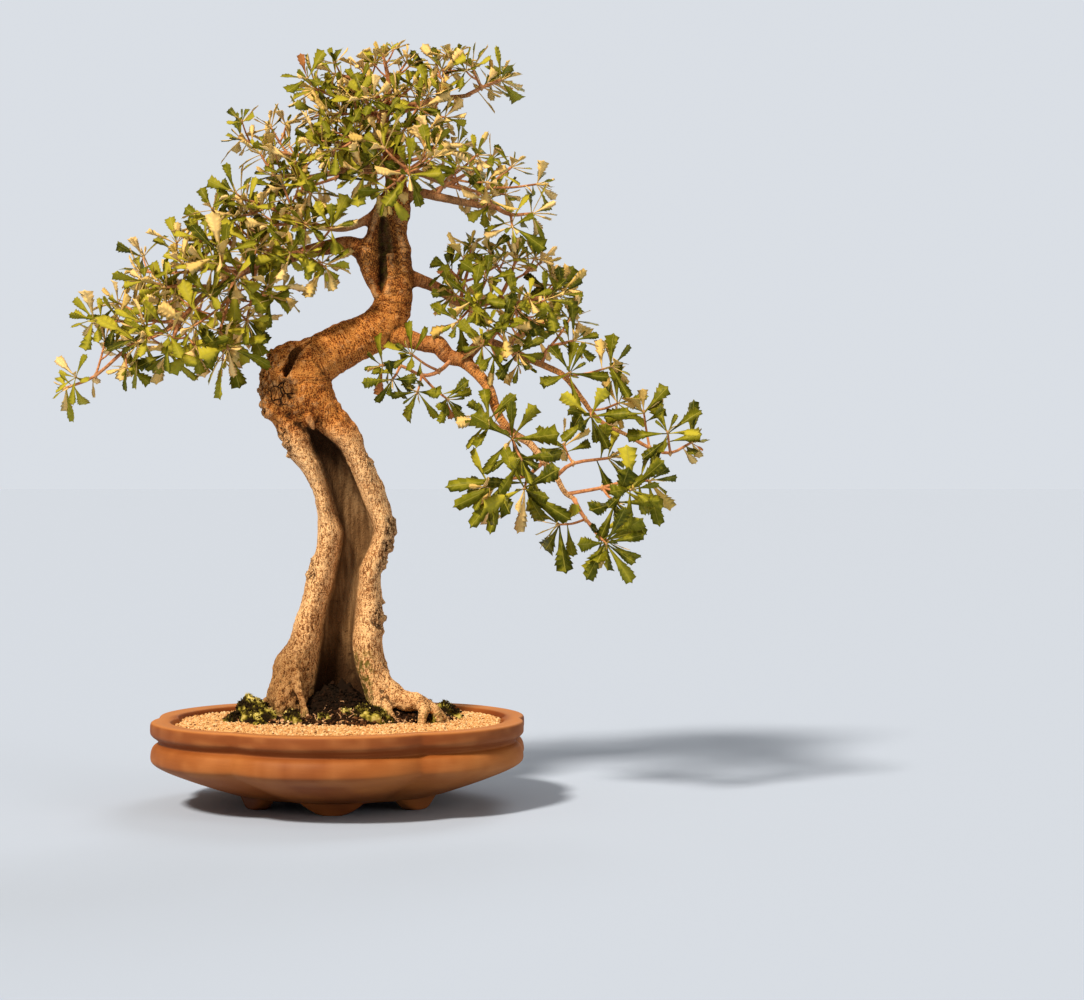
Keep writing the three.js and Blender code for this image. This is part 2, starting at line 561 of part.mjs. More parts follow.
// Half the outline of a wedge-shaped leaf with a toothed end: across and along, as shares of its length.
const LEAF_EDGE = [[-0.205, 0.77], [-0.115, 0.82], [0, 1], [0.115, 0.82], [0.205, 0.77]];

// The two faces' outline points of a leaf, counterclockwise from above.
function leafPoints(root, { direction, face, length, droop }) {
  const normal = face.clone().addScaledVector(direction, -face.dot(direction)).normalize();
  const across = normal.clone().cross(direction);
  return LEAF_EDGE.map(([u, v]) => {
    const middle = root
      .clone()
      .addScaledVector(across, u * length)
      .addScaledVector(direction, v * length)
      .addScaledVector(normal, -droop * v * v * length);
    return {
      upper: middle.clone().addScaledVector(normal, LEAF_THICKNESS / 2),
      lower: middle.clone().addScaledVector(normal, -LEAF_THICKNESS / 2),
    };
  });
}

// A twig through [x, y, z, radius] points that ends in a whorl: one closed mesh of the twig, the small bud at
// its end and the leaves, each leaf in one of the places round the bud.
function leafyTwig(points, leaves) {
  const rings = limbRings(points, WHORL_PLACES);
  const hub = vec(points.at(-1));
  const axis = twigAxis(points);
  const positions = [...rings.flat(), vec(points[0]), hub.clone().addScaledVector(axis, 2.2)];
  const [start, bud] = [positions.length - 2, positions.length - 1];
  const index = tubeFaces(rings.length, WHORL_PLACES);
  const firstCorner = (rings.length - 1) * WHORL_PLACES;
  const outline = [];
  for (let i = 0; i < WHORL_PLACES; i++) {
    const next = (i + 1) % WHORL_PLACES;
    index.push(start, next, i);
    const corner = positions.push(rings.at(-1)[i].clone().addScaledVector(axis, LEAF_THICKNESS)) - 1;
    outline.push({ upper: corner, lower: firstCorner + i, corner: i });
    if (leaves[i]) {
      for (const { upper, lower } of leafPoints(hub, leaves[i])) {
        const at = positions.push(upper, lower);
        outline.push({ upper: at - 2, lower: at - 1 });
      }
    }
  }
  const corners = outline.filter((point) => point.corner !== undefined);
  corners.forEach((corner, i) => {
    const next = corners[(i + 1) % corners.length];
    index.push(bud, corner.upper, next.upper);
    if (leaves[i]) {
      const from = outline.indexOf(corner);
      const [a, b, tip, d, e] = outline.slice(from + 1, from + 6);
      for (const [p, q, r] of [[corner, a, e], [corner, e, next], [a, b, d], [a, d, e], [b, tip, d]]) {
        index.push(p.upper, q.upper, r.upper, p.lower, r.lower, q.lower);
      }
    }
  });
  outline.forEach((point, i) => {
    const next = outline[(i + 1) % outline.length];
    index.push(point.lower, next.lower, next.upper, point.lower, next.upper, point.upper);
  });
  return solidOf(new THREE.BufferGeometry().setFromPoints(positions).setIndex(index));
}

const twigAxis = (points) => vec(points.at(-1)).sub(vec(points.at(-2))).normalize();

// How one leaf of a whorl stands: the place turns it round the twig, and shift moves it from there.
function leafPose(points, place, number, length, shift) {
  const { axis, side, other } = limbFrames(points).at(-1);
  const turn = (2 * Math.PI * (place + 0.5 + 0.3 * (wobble(number * 3.7) - 0.5) + shift.turn)) / WHORL_PLACES;
  const spread = ((58 + 26 * wobble(number * 5.3 + place) + shift.spread) * Math.PI) / 180;
  const direction = axis
    .clone()
    .multiplyScalar(Math.cos(spread))
    .addScaledVector(side, Math.cos(turn) * Math.sin(spread))
    .addScaledVector(other, Math.sin(turn) * Math.sin(spread))
    .normalize();
  return {
    direction,
    face: axis,
    length: length * mix(0.82, 1.12, wobble(number * 1.9)),
    droop: 0.05 + 0.1 * wobble(number),
  };
}

const SHIFTS = [
  { turn: 0, spread: 0 },
  { turn: 0.15, spread: -12 },
  { turn: -0.15, spread: 14 },
  { turn: 0, spread: -26 },
];

const near = (a, b) => {
  const [p, q] = [a.boundingBox(), b.boundingBox()];
  return [0, 1, 2].every((k) => p.min[k] < q.max[k] + CLEARANCE && q.min[k] < p.max[k] + CLEARANCE);
};
const tooClose = (a, b) => near(a, b) && a.minGap(b, CLEARANCE) < CLEARANCE;

// The stem and side twigs of a spray, each a list of [x, y, z, radius] points with the places of its leaves.
function sprayTwigs([name, at, , stem, twigs]) {
  const line = [limbPoint(name, at), ...stem];
  const stemPoints = line.map((point, k) => [...point, mix(STEM_RADIUS, TWIG_RADIUS, k / (line.length - 1))]);
  const sideTwigs = twigs.map(([from, ...hub]) => [
    [...line[from], TWIG_RADIUS],
    [...hub, TWIG_RADIUS],
  ]);
  return [
    { points: stemPoints, places: END_WHORL },
    ...sideTwigs.map((points) => ({ points, places: SIDE_WHORL })),
  ];
}

// All the sprays. A leaf that would come too close to another spray or to the wood is shifted a little, and
// is left out if it is still too close.
function sprays(stoutWood) {
  const made = Object.entries(SPRAYS).map(([name, row]) => ({ name, leaf: row[2], twigs: sprayTwigs(row) }));
  const solids = made.map(({ twigs }) => join(twigs.map(({ points }) => leafyTwig(points, []))));
  let number = 0;
  made.forEach(({ leaf, twigs }, k) => {
    const others = [...solids.slice(0, k), ...solids.slice(k + 1)];
    const leafy = twigs.map(({ points, places }) => {
      const leaves = [];
      for (const place of places) {
        number += 1;
        const poses = SHIFTS.map((shift) => leafPose(points, place, number, leaf, shift));
        leaves[place] = poses.find((pose) => {
          const end = points.slice(-2);
          const blade = leafyTwig(end, Object.assign([], { [place]: pose }));
          const bare = leafyTwig(end, []);
          const inWood = blade.intersect(stoutWood).volume() - bare.intersect(stoutWood).volume();
          return inWood < 0.01 && !others.some((other) => tooClose(blade, other));
        });
      }
      return leafyTwig(points, leaves);
    });
    solids[k] = largest(join(leafy).subtract(stoutWood));
  });
  return made.map(({ name }, k) => [`spray_${name}`, solids[k]]);
}

// Materials and assembly

const CLAY = new THREE.MeshStandardMaterial({ color: 0xb06a3c, roughness: 0.8, metalness: 0 });
const BARK = new THREE.MeshStandardMaterial({ color: 0xa8794a, roughness: 0.9, metalness: 0 });
const LEAF = new THREE.MeshStandardMaterial({ color: 0x5d7326, roughness: 0.5, metalness: 0 });
const SOIL = new THREE.MeshStandardMaterial({ color: 0x2e2016, roughness: 1, metalness: 0 });
const GOLD_GRAVEL = new THREE.MeshStandardMaterial({ color: 0xe2b878, roughness: 0.95, metalness: 0 });
const MOSS_GREEN = new THREE.MeshStandardMaterial({ color: 0x6f6a1f, roughness: 1, metalness: 0 });
const SCREEN = new THREE.MeshStandardMaterial({ color: 0x1c1c1c, roughness: 0.6, metalness: 0 });

const tree = new THREE.Group();

function add(name, solid, material) {
  const mesh = new THREE.Mesh(geometryOf(solid.asOriginal().simplify(FINEST_DETAIL)), material);
  mesh.name = name;
  tree.add(mesh);
}

const stoutWood = wood(CLEARANCE);
add("pot", pot(), CLAY);
add("drain_screen", drainScreen(), SCREEN);
add("soil", largest(soil(CLEARANCE).subtract(stoutWood)), SOIL);
add("gravel", largest(gravel().subtract(stoutWood)), GOLD_GRAVEL);
const mossLift = [0, 0, 2 * CLEARANCE];
const ground = [soil(-3 * CLEARANCE).translate(mossLift), gravel().translate(mossLift), stoutWood];
for (const [name, cushion] of Object.entries(MOSS)) {
  add(name, largest(ground.reduce((moss, solid) => moss.subtract(solid), mossCushion(cushion))), MOSS_GREEN);
}
add("trunk", wood(), BARK);
for (const [name, solid] of sprays(stoutWood)) {
  add(name, solid, LEAF);
}

// The part's origin is under the middle of the whole tree, on the surface that the feet stand on.
const bounds = new THREE.Box3().setFromObject(tree);
const middle = bounds.getCenter(new THREE.Vector3());
tree.position.set(-middle.x, -middle.y, 0);

export default tree;
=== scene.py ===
"""Looks of the coast banksia bonsai: a hollow leaning trunk and toothed leaves over a six-lobed clay pot.

Places in the tables are in millimetres, [x, y, z] or [x, y, z, radius], measured from the middle of the pot
at the height its feet stand on, with the front of the tree towards -Y. Meshes and materials are in metres, in
the frame of the part.
"""

import logging
import math
import random
from collections.abc import Callable, Iterable, Sequence
from dataclasses import dataclass, field
from enum import Enum

import bpy
import numpy as np
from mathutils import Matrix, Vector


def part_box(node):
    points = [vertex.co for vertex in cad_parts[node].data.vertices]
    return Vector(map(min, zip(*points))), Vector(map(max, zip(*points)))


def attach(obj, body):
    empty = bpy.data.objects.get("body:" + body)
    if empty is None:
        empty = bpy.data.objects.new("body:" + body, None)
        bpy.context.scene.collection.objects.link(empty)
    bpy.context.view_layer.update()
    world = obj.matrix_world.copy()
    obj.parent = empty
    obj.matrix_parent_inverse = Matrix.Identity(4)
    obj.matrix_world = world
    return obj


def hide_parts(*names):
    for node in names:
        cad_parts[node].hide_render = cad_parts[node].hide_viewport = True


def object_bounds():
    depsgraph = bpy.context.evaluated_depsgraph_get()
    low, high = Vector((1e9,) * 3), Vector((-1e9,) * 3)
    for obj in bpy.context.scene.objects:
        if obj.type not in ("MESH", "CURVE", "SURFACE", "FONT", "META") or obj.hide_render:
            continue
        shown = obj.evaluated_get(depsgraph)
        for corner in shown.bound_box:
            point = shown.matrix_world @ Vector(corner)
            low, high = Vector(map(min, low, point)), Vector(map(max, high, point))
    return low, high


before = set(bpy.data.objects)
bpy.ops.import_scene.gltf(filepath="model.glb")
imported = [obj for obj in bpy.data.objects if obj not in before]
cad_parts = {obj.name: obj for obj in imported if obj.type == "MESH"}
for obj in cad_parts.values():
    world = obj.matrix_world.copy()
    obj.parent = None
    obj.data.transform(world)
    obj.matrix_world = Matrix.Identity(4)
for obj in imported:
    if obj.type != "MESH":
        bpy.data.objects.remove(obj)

Array = np.ndarray
Material = bpy.types.Material
Mesh = bpy.types.Mesh
Piece = bpy.types.Object
Wire = bpy.types.NodeSocket

LOG = logging.getLogger("bonsai")
CAD_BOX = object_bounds()
MM = 0.001
FULL_TURN = 2 * math.pi
WHITE = (1.0, 1.0, 1.0)

# Driving sizes of the pot and what fills it
POT_RADIUS = 222.0
RIM_WIDTH = 24.0
WELL_RADIUS = POT_RADIUS - RIM_WIDTH
RIM_NOTCH = 0.055
FLOOR_TOP = 20.0
FOOT_RADIUS = 105.0
LOBES = 6
DRAIN_RADIUS = 13.0
GRAVEL_BOTTOM = 84.0
GRAVEL_TOP = 97.0
GRAVEL_SLOPE = 3.5
GRAIN_CELL = 4.2
CRUMB_CELL = 6.0
MOUND_HALF_WIDTH = 134.0
MOUND_HALF_DEPTH = 64.0
MOUND_RISE = 23.0
HEAP_RISE = 15.0
MOSS_BASE = GRAVEL_TOP - 3


def middle_of_pot() -> Array:
    """The middle of the pot on the surface that it stands on, in metres in the part's frame."""
    low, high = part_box("pot")
    return np.array([(low.x + high.x) / 2, (low.y + high.y) / 2, 0.0])


CENTRE = middle_of_pot()


def to_metres(points: Array) -> Array:
    """Points of the tables, in millimetres, as places in the part's frame."""
    return np.asarray(points, float) * MM + CENTRE


def from_metres(places: Array) -> Array:
    """Places in the part's frame as points in millimetres, as in the tables."""
    return (places - CENTRE) / MM


# Numbers that vary in a repeatable way

# Large primes that scramble the three numbers of a cell, and a factor that does so for a seed
CELL_SCRAMBLE = (73856093, 19349663, 83492791)
SEED_SCRAMBLE = 40503


def wobble(number: float) -> float:
    """An even spread of values from 0 to 1, the same for the same number."""
    return (math.sin(number * 12.9898) * 43758.5453) % 1.0


def lattice_value(cell: Array, seed: int) -> Array:
    """A repeatable value from 0 to 1 for each cell of a lattice.

    Args:
        cell: whole numbers, one row of three for each cell.
        seed: which of the many spreads is wanted.

    Returns:
        One value for each row.
    """
    mixed = np.bitwise_xor.reduce(cell * CELL_SCRAMBLE, axis=1) ^ seed * SEED_SCRAMBLE
    mixed = (mixed ^ (mixed >> 13)) * 1274126177 & 0xFFFFFFFF
    return ((mixed ^ (mixed >> 16)) & 0xFFFF) / 65535.0


def noise(points: Array, size: float, seed: int) -> Array:
    """Smooth noise from -1 to 1 with lumps of about one size.

    Args:
        points: one row of three for each point.
        size: width of a lump, in the unit of the points.
        seed: which of the many noises is wanted.

    Returns:
        One value for each point.
    """
    grid = points / size
    base = np.floor(grid)
    share = grid - base
    share = share * share * (3 - 2 * share)
    total = np.zeros(len(points))
    for corner in np.ndindex(2, 2, 2):
        weight = np.prod(np.where(np.array(corner) == 1, share, 1 - share), axis=1)
        total += weight * lattice_value(base.astype(np.int64) + np.array(corner), seed)
    return 2 * total - 1


def cells(points: Array, size: float, seed: int) -> tuple[Array, Array]:
    """Irregular cells, as cracked bark and crumbs have.

    Args:
        points: one row of three for each point.
        size: width of a cell, in the unit of the points.
        seed: which of the many patterns is wanted.

    Returns:
        How near each point is to its cell's edge, 0 on the edge, and a value from 0 to 1 for its cell.
    """
    grid = points / size
    base = np.floor(grid).astype(np.int64)
    nearest = np.full(len(points), 9.0)
    second = np.full(len(points), 9.0)
    name = np.zeros(len(points))
    for offset in np.ndindex(3, 3, 3):
        cell = base + np.array(offset) - 1
        heart = cell + np.stack([lattice_value(cell, seed + axis) for axis in (1, 2, 3)], axis=1)
        distance = np.linalg.norm(grid - heart, axis=1)
        closer = distance < nearest
        second = np.where(closer, nearest, np.minimum(second, distance))
        name = np.where(closer, lattice_value(cell, seed + 4), name)
        nearest = np.minimum(nearest, distance)
    return second - nearest, name


def rise(values: Array, start: float, end: float) -> Array:
    """A smooth step from 0 at start to 1 at end, which may lie below start."""
    share = np.clip((values - start) / (end - start), 0, 1)
    return share * share * (3 - 2 * share)


def through(rows: Sequence, steps: int, closed: bool = False) -> Array:
    """A smooth run of rows through the given ones.

    Args:
        rows: rows of numbers, or of lists of numbers, all of one form.
        steps: how many rows there are for each gap.
        closed: True where the last row is followed by the first.

    Returns:
        The rows of the smooth run.
    """
    given = np.asarray(rows, float)
    if closed:
        padded = np.concatenate([given[-1:], given, given[:2]])
    else:
        padded = np.concatenate([2 * given[:1] - given[1:2], given, 2 * given[-1:] - given[-2:-1]])
    a, b, c, d = padded[:-3], padded[1:-2], padded[2:-1], padded[3:]
    bend = 2 * a - 5 * b + 4 * c - d
    turn = 3 * b - a - 3 * c + d
    shares = np.linspace(0, 1, steps, endpoint=False)
    run = [(2 * b + (c - a) * share + bend * share**2 + turn * share**3) / 2 for share in shares]
    smooth = np.stack(run, axis=1).reshape(-1, *given.shape[1:])
    return smooth if closed else np.concatenate([smooth, given[-1:]])


# Work with Blender's tools


def activate(*pieces: Piece) -> None:
    """Makes the pieces the only selected ones, the first one active. None at all leaves nothing selected."""
    bpy.ops.object.select_all(action="DESELECT")
    for piece in pieces:
        piece.select_set(True)
    if pieces:
        bpy.context.view_layer.objects.active = pieces[0]


def primitive(add: Callable, **settings: object) -> Piece:
    """What an operator that adds a primitive makes."""
    activate()
    add(**settings)
    return bpy.context.object


def ball(fineness: int) -> Piece:
    """A ball of radius 1 with that many subdivisions."""
    return primitive(bpy.ops.mesh.primitive_ico_sphere_add, subdivisions=fineness, radius=1.0)


def finish_with(piece: Piece, kind: str, **settings: object) -> None:
    """Adds a modifier of that kind with these settings and applies it."""
    activate(piece)
    modifier = piece.modifiers.new(kind.title(), kind)
    for name, value in settings.items():
        setattr(modifier, name, value)
    bpy.ops.object.modifier_apply(modifier=modifier.name)


def combine(piece: Piece, other: Piece, how: str) -> None:
    """Joins another closed piece to this one or cuts it out, by UNION or DIFFERENCE, and removes it."""
    finish_with(piece, "BOOLEAN", operation=how, solver="EXACT", object=other)
    bpy.data.objects.remove(other)


def edit_all(piece: Piece, *operations: tuple) -> None:
    """Runs edit-mode operators, each with its settings, on the whole mesh of a piece."""
    activate(piece)
    bpy.ops.object.mode_set(mode="EDIT")
    bpy.ops.mesh.select_all(action="SELECT")
    for operator, settings in operations:
        operator(**settings)
    bpy.ops.object.mode_set(mode="OBJECT")


def joined(name: str, pieces: Sequence[Piece]) -> Piece:
    """The pieces as one object of that name."""
    activate(*pieces)
    bpy.ops.object.join()
    pieces[0].name = name
    return pieces[0]


def linked(name: str, data: bpy.types.ID) -> Piece:
    """A new object with that data in the scene."""
    piece = bpy.data.objects.new(name, data)
    bpy.context.scene.collection.objects.link(piece)
    return piece


def meshed(name: str, points: Array, faces: Sequence) -> Piece:
    """A piece from points in millimetres and the corners of its faces."""
    mesh = bpy.data.meshes.new(name)
    mesh.from_pydata(to_metres(points).tolist(), [], faces)
    return linked(name, mesh)


def lofted(name: str, rings: Array, ring_shaped: bool = False) -> Piece:
    """A closed solid of rings: a disc is extruded once for each ring, and each is set to its own outline.

    Args:
        name: name of the piece.
        rings: count x sides x 3 places in millimetres, counterclockwise from above.
        ring_shaped: True where the last ring joins the first, round a hole.

    Returns:
        The solid, with its faces pointing out.
    """
    count, sides, _ = rings.shape
    fill = "NOTHING" if ring_shaped else "NGON"
    piece = primitive(bpy.ops.mesh.primitive_circle_add, vertices=sides, radius=1.0, fill_type=fill)
    piece.name = name
    bpy.ops.object.mode_set(mode="EDIT")
    for _ in range(count - 1):
        bpy.ops.mesh.extrude_region_move(TRANSFORM_OT_translate={"value": (0.0, 0.0, 1.0)})
    if ring_shaped:
        bpy.ops.mesh.select_all(action="DESELECT")
        bpy.ops.mesh.select_non_manifold()
        bpy.ops.mesh.bridge_edge_loops()
    bpy.ops.object.mode_set(mode="OBJECT")
    plain = read_points(piece.data)
    level = np.rint(plain[:, 2]).astype(int)
    place = np.rint(np.arctan2(plain[:, 1], plain[:, 0]) * sides / FULL_TURN).astype(int) % sides
    write_points(piece.data, to_metres(rings[level, place]))
    edit_all(piece, (bpy.ops.mesh.normals_make_consistent, {"inside": False}))
    return piece


def tubes(name: str, lines: Iterable[Array], roundness: int) -> Piece:
    """Closed round tubes along lines, made as one bevelled curve and turned into a mesh.

    Args:
        name: name of the piece.
        lines: for each tube its rows of [x, y, z, radius] in millimetres.
        roundness: Blender's bevel resolution, 1 for six sides.

    Returns:
        The mesh piece.
    """
    curve = bpy.data.curves.new(name, "CURVE")
    curve.dimensions = "3D"
    curve.bevel_depth = MM
    curve.bevel_resolution = roundness
    curve.use_fill_caps = True
    for line in lines:
        spline = curve.splines.new("POLY")
        spline.points.add(len(line) - 1)
        places = np.concatenate([to_metres(line[:, :3]), np.ones((len(line), 1))], axis=1)
        spline.points.foreach_set("co", places.ravel())
        spline.points.foreach_set("radius", line[:, 3])
    piece = linked(name, curve)
    activate(piece)
    bpy.ops.object.convert(target="MESH")
    outward = (bpy.ops.mesh.normals_make_consistent, {"inside": False})
    edit_all(piece, (bpy.ops.mesh.remove_doubles, {"threshold": 0.00001}), outward)
    return piece


def fetched(items: Sequence, key: str, width: int, kind: type = float) -> Array:
    """The values of that key of all points, edges or corners, a row of that width for each."""
    values = np.empty(len(items) * width, kind)
    items.foreach_get(key, values)
    return values.reshape(-1, width)


def read_points(mesh: Mesh) -> Array:
    """The places of a mesh's points, one row for each."""
    return fetched(mesh.vertices, "co", 3)


def write_points(mesh: Mesh, places: Array) -> None:
    """Moves a mesh's points to new places."""
    mesh.vertices.foreach_set("co", np.ascontiguousarray(places, np.float32).ravel())
    mesh.update()


def taken_apart(piece: Piece) -> tuple[Array, list[tuple[int, ...]]]:
    """The points and the corners of the faces of a piece, which is removed."""
    points, faces = read_points(piece.data), [tuple(face.vertices) for face in piece.data.polygons]
    bpy.data.objects.remove(piece)
    return points, faces


def paint(mesh: Mesh, name: str, values: Array) -> None:
    """Stores one number for each point of a mesh, for its material to read."""
    attribute = mesh.attributes.new(name, "FLOAT", "POINT")
    attribute.data.foreach_set("value", np.asarray(values, np.float32))


def smooth_shade(mesh: Mesh) -> None:
    """Shades all faces of a mesh smoothly."""
    mesh.polygons.foreach_set("use_smooth", np.ones(len(mesh.polygons), bool))


def dress(piece: Piece, *materials: Material) -> None:
    """Gives a piece these materials and no others."""
    piece.data.materials.clear()
    for material in materials:
        piece.data.materials.append(material)


def hollowness(mesh: Mesh, rounds: int) -> Array:
    """How far each point lies in a dip, in millimetres, below 0 on a ridge."""
    one, other = fetched(mesh.edges, "vertices", 2, np.int64).T
    start = places = read_points(mesh)
    count = len(start)
    neighbours = np.bincount(np.append(one, other), minlength=count)[:, None]
    for _ in range(rounds):
        total = [
            np.bincount(one, places[other, axis], count) + np.bincount(other, places[one, axis], count)
            for axis in range(3)
        ]
        places = np.stack(total, axis=1) / np.maximum(neighbours, 1)
    return np.sum((places - start) * fetched(mesh.vertex_normals, "vector", 3), axis=1) / MM


def settle(piece: Piece, slot: str, *nodes: str) -> None:
    """Hands a finished piece to the frame, hides the CAD nodes it stands for, and logs its triangles and
    material slot.
    """
    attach(piece, "root")
    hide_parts(*nodes)
    triangles = sum(len(face.vertices) - 2 for face in piece.data.polygons)
    LOG.info("%s: %d triangles, slot %s", piece.name, triangles, slot)


class Copies:
    """Many copied forms gathered into one mesh, with values for its points."""

    def __init__(self) -> None:
        """Starts without a form."""
        self.rows: list[Array] = []
        self.faces: list[tuple[int, ...]] = []
        self.count = 0

    def gather(self, points: Array, faces: Iterable, values: Sequence) -> None:
        """Adds a form.

        Args:
            points: its points, in millimetres.
            faces: the corners of its faces.
            values: a row of values for all its points, or one for each.
        """
        given = np.broadcast_to(values, (len(points), np.shape(values)[-1]))
        self.rows.append(np.hstack([points, given]))
        self.faces.extend(tuple(corner + self.count for corner in face) for face in faces)
        self.count += len(points)

    def piece(self, name: str, *painted: str) -> Piece:
        """All the forms as one mesh, with the last values painted on it under these names."""
        rows = np.concatenate(self.rows)
        piece = meshed(name, rows[:, :3], self.faces)
        for key, values in zip(painted, rows.T[-len(painted) :]):
            paint(piece.data, key, values)
        return piece


# Finishes


class Recipe:
    """A material built up node by node. Where a number is asked for, it may be a plain number, a wire from
    another node, or the name of numbers painted on the mesh."""

    def __init__(self, name: str, roughness: float, specular: float = 0.5) -> None:
        """Starts a material with that name, roughness and specular level."""
        self.material = bpy.data.materials.new(name)
        self.material.use_nodes = True
        self.tree = self.material.node_tree
        self.shader = self.tree.nodes["Principled BSDF"].inputs
        self.shader["Roughness"].default_value = roughness
        self.shader["Specular IOR Level"].default_value = specular
        self.places = self.node("TexCoord", "Object")
        self.colour: object = WHITE

    def feed(self, socket: Wire, value: object) -> None:
        """Links a socket to a wire or to painted numbers, or sets it to a value."""
        if isinstance(value, str):
            value = self.node("Attribute", "Fac", attribute_name=value)
        if isinstance(value, Wire):
            self.tree.links.new(value, socket)
        elif socket.type == "RGBA":
            socket.default_value = (*value, 1.0)
        else:
            socket.default_value = value

    def node(self, kind: str, output: int | str, inputs: dict | None = None, **settings: object) -> Wire:
        """Adds a node.

        Args:
            kind: its type, after the words ShaderNode.
            output: which of its outputs is wanted.
            inputs: what its inputs are fed with, by name or number.
            settings: its further settings.

        Returns:
            The wire from its output.
        """
        node = self.tree.nodes.new(f"ShaderNode{kind}")
        for name, value in settings.items():
            setattr(node, name, value)
        for key, value in (inputs or {}).items():
            self.feed(node.inputs[key], value)
        return node.outputs[output]

    def scaled(self, across: float, up: float) -> Wire:
        """Object coordinates scaled across and up, to stretch a pattern."""
        return self.node("Mapping", "Vector", {"Vector": self.places, "Scale": (across, across, up)})

    def wrapped(self, across: float, run: float) -> Wire:
        """Object coordinates drawn out round a limb, so that a pattern runs across its grain."""
        travelled = self.sum("MULTIPLY", "along", run)
        shift = self.node("CombineXYZ", "Vector", dict.fromkeys("XYZ", travelled))
        inputs = {0: self.scaled(across, across), 1: shift}
        return self.node("VectorMath", "Vector", inputs, operation="ADD")

    def noise(self, per_metre: float, detail: float = 3.0, where: Wire | None = None) -> Wire:
        """Noise with that many lumps in a metre."""
        inputs = {"Vector": where or self.places, "Scale": per_metre, "Detail": detail}
        return self.node("TexNoise", "Fac", inputs)

    def grains(self, per_metre: float, feature: str = "F1") -> Wire:
        """A pattern of cells with that many cells in a metre."""
        inputs = {"Vector": self.places, "Scale": per_metre}
        return self.node("TexVoronoi", "Distance", inputs, feature=feature)

    def ramp(self, factor: object, *stops: tuple) -> Wire:
        """Colours along a factor, each stop a place from 0 to 1 and a colour."""
        wire = self.node("ValToRGB", "Color", {"Fac": factor})
        elements = wire.node.color_ramp.elements
        while len(elements) < len(stops):
            elements.new(0.5)
        for element, (place, colour) in zip(elements, stops):
            element.position = place
            element.color = (*colour, 1.0)
        return wire

    def share(self, factor: object, start: float, end: float, top: float = 1.0) -> Wire:
        """A factor stretched so that it is 0 at start and top at end."""
        inputs = {"Value": factor, "From Min": start, "From Max": end, "To Max": top}
        return self.node("MapRange", "Result", inputs, interpolation_type="SMOOTHSTEP")

    def sum(self, kind: str, first: object, second: object = 0.0) -> Wire:
        """Two numbers put together, by ADD, MULTIPLY or another kind of sum."""
        return self.node("Math", "Value", {0: first, 1: second}, operation=kind)

    def weighted(self, *parts: tuple) -> Wire:
        """Numbers added up, each times its weight."""
        total, *others = [self.sum("MULTIPLY", number, weight) for number, weight in parts]
        for other in others:
            total = self.sum("ADD", total, other)
        return total

    def mix(self, factor: object, first: object, second: object, how: str = "MIX") -> Wire:
        """Two colours mixed by a factor, or multiplied by that much."""
        return self.node("Mix", 2, {"Factor": factor, 6: first, 7: second}, data_type="RGBA", blend_type=how)

    def cover(self, factor: object, colour: object, how: str = "MIX") -> None:
        """Mixes a colour into the one so far, by a factor."""
        self.colour = self.mix(factor, self.colour, colour, how)

    def rough(self, factor: object, low: float, high: float) -> None:
        """Lets the roughness follow a factor between two values."""
        spread = self.node("MapRange", "Result", {"Value": factor, "To Min": low, "To Max": high})
        self.feed(self.shader["Roughness"], spread)

    def finished(self, *layers: tuple) -> Material:
        """The material with its colour and fine relief, each layer a height, a strength and a depth in mm."""
        self.feed(self.shader["Base Color"], self.colour)
        below: dict = {}
        for height, strength, depth in layers:
            relief = {"Height": height, "Strength": strength, "Distance": depth * MM, **below}
            below = {"Normal": self.node("Bump", "Normal", relief)}
        self.feed(self.shader["Normal"], below["Normal"])
        return self.material


@dataclass(frozen=True)
class FiredClay:
    """Unglazed orange-brown clay with a fine sandy skin, darker in the mouth of the kiln's flame, with
    painted shade on the face of its lip and a painted highlight on the top of its rim.
    """

    pale: tuple = (0.40, 0.145, 0.034)
    body: tuple = (0.29, 0.085, 0.015)
    smoked_and_shaded: tuple = (0.19, 0.045, 0.008)
    edge_wear_and_highlight: tuple = (0.54, 0.225, 0.07)
    speck: tuple = (0.14, 0.05, 0.02)
    dull: tuple = (0.8, 0.8, 0.8)

    def material(self) -> Material:
        """The clay's material."""
        clay = Recipe("fired_clay", 0.62, 0.2)
        cloud = clay.noise(9.0)
        streak = clay.noise(1.0, 4.0, clay.scaled(60.0, 700.0))
        clay.colour = clay.ramp(cloud, (0.3, self.smoked_and_shaded), (0.52, self.body), (0.78, self.pale))
        # Painted shade: the face of the lip, which turns down and away from the light, is darkened
        clay.cover("lip", self.smoked_and_shaded)
        # Edges lightened as wear, and the top of the rim lightened as a painted highlight
        clay.cover("wear_and_rim_highlight", self.edge_wear_and_highlight)
        clay.cover(clay.share(clay.noise(900.0, 2.0), 0.66, 0.74, 0.35), self.speck)
        clay.cover(0.35, clay.ramp(streak, (0.3, self.dull), (0.7, WHITE)), "MULTIPLY")
        clay.rough(cloud, 0.5, 0.78)
        return clay.finished((clay.noise(1500.0, 2.0), 0.25, 0.25), (streak, 0.15, 0.3))


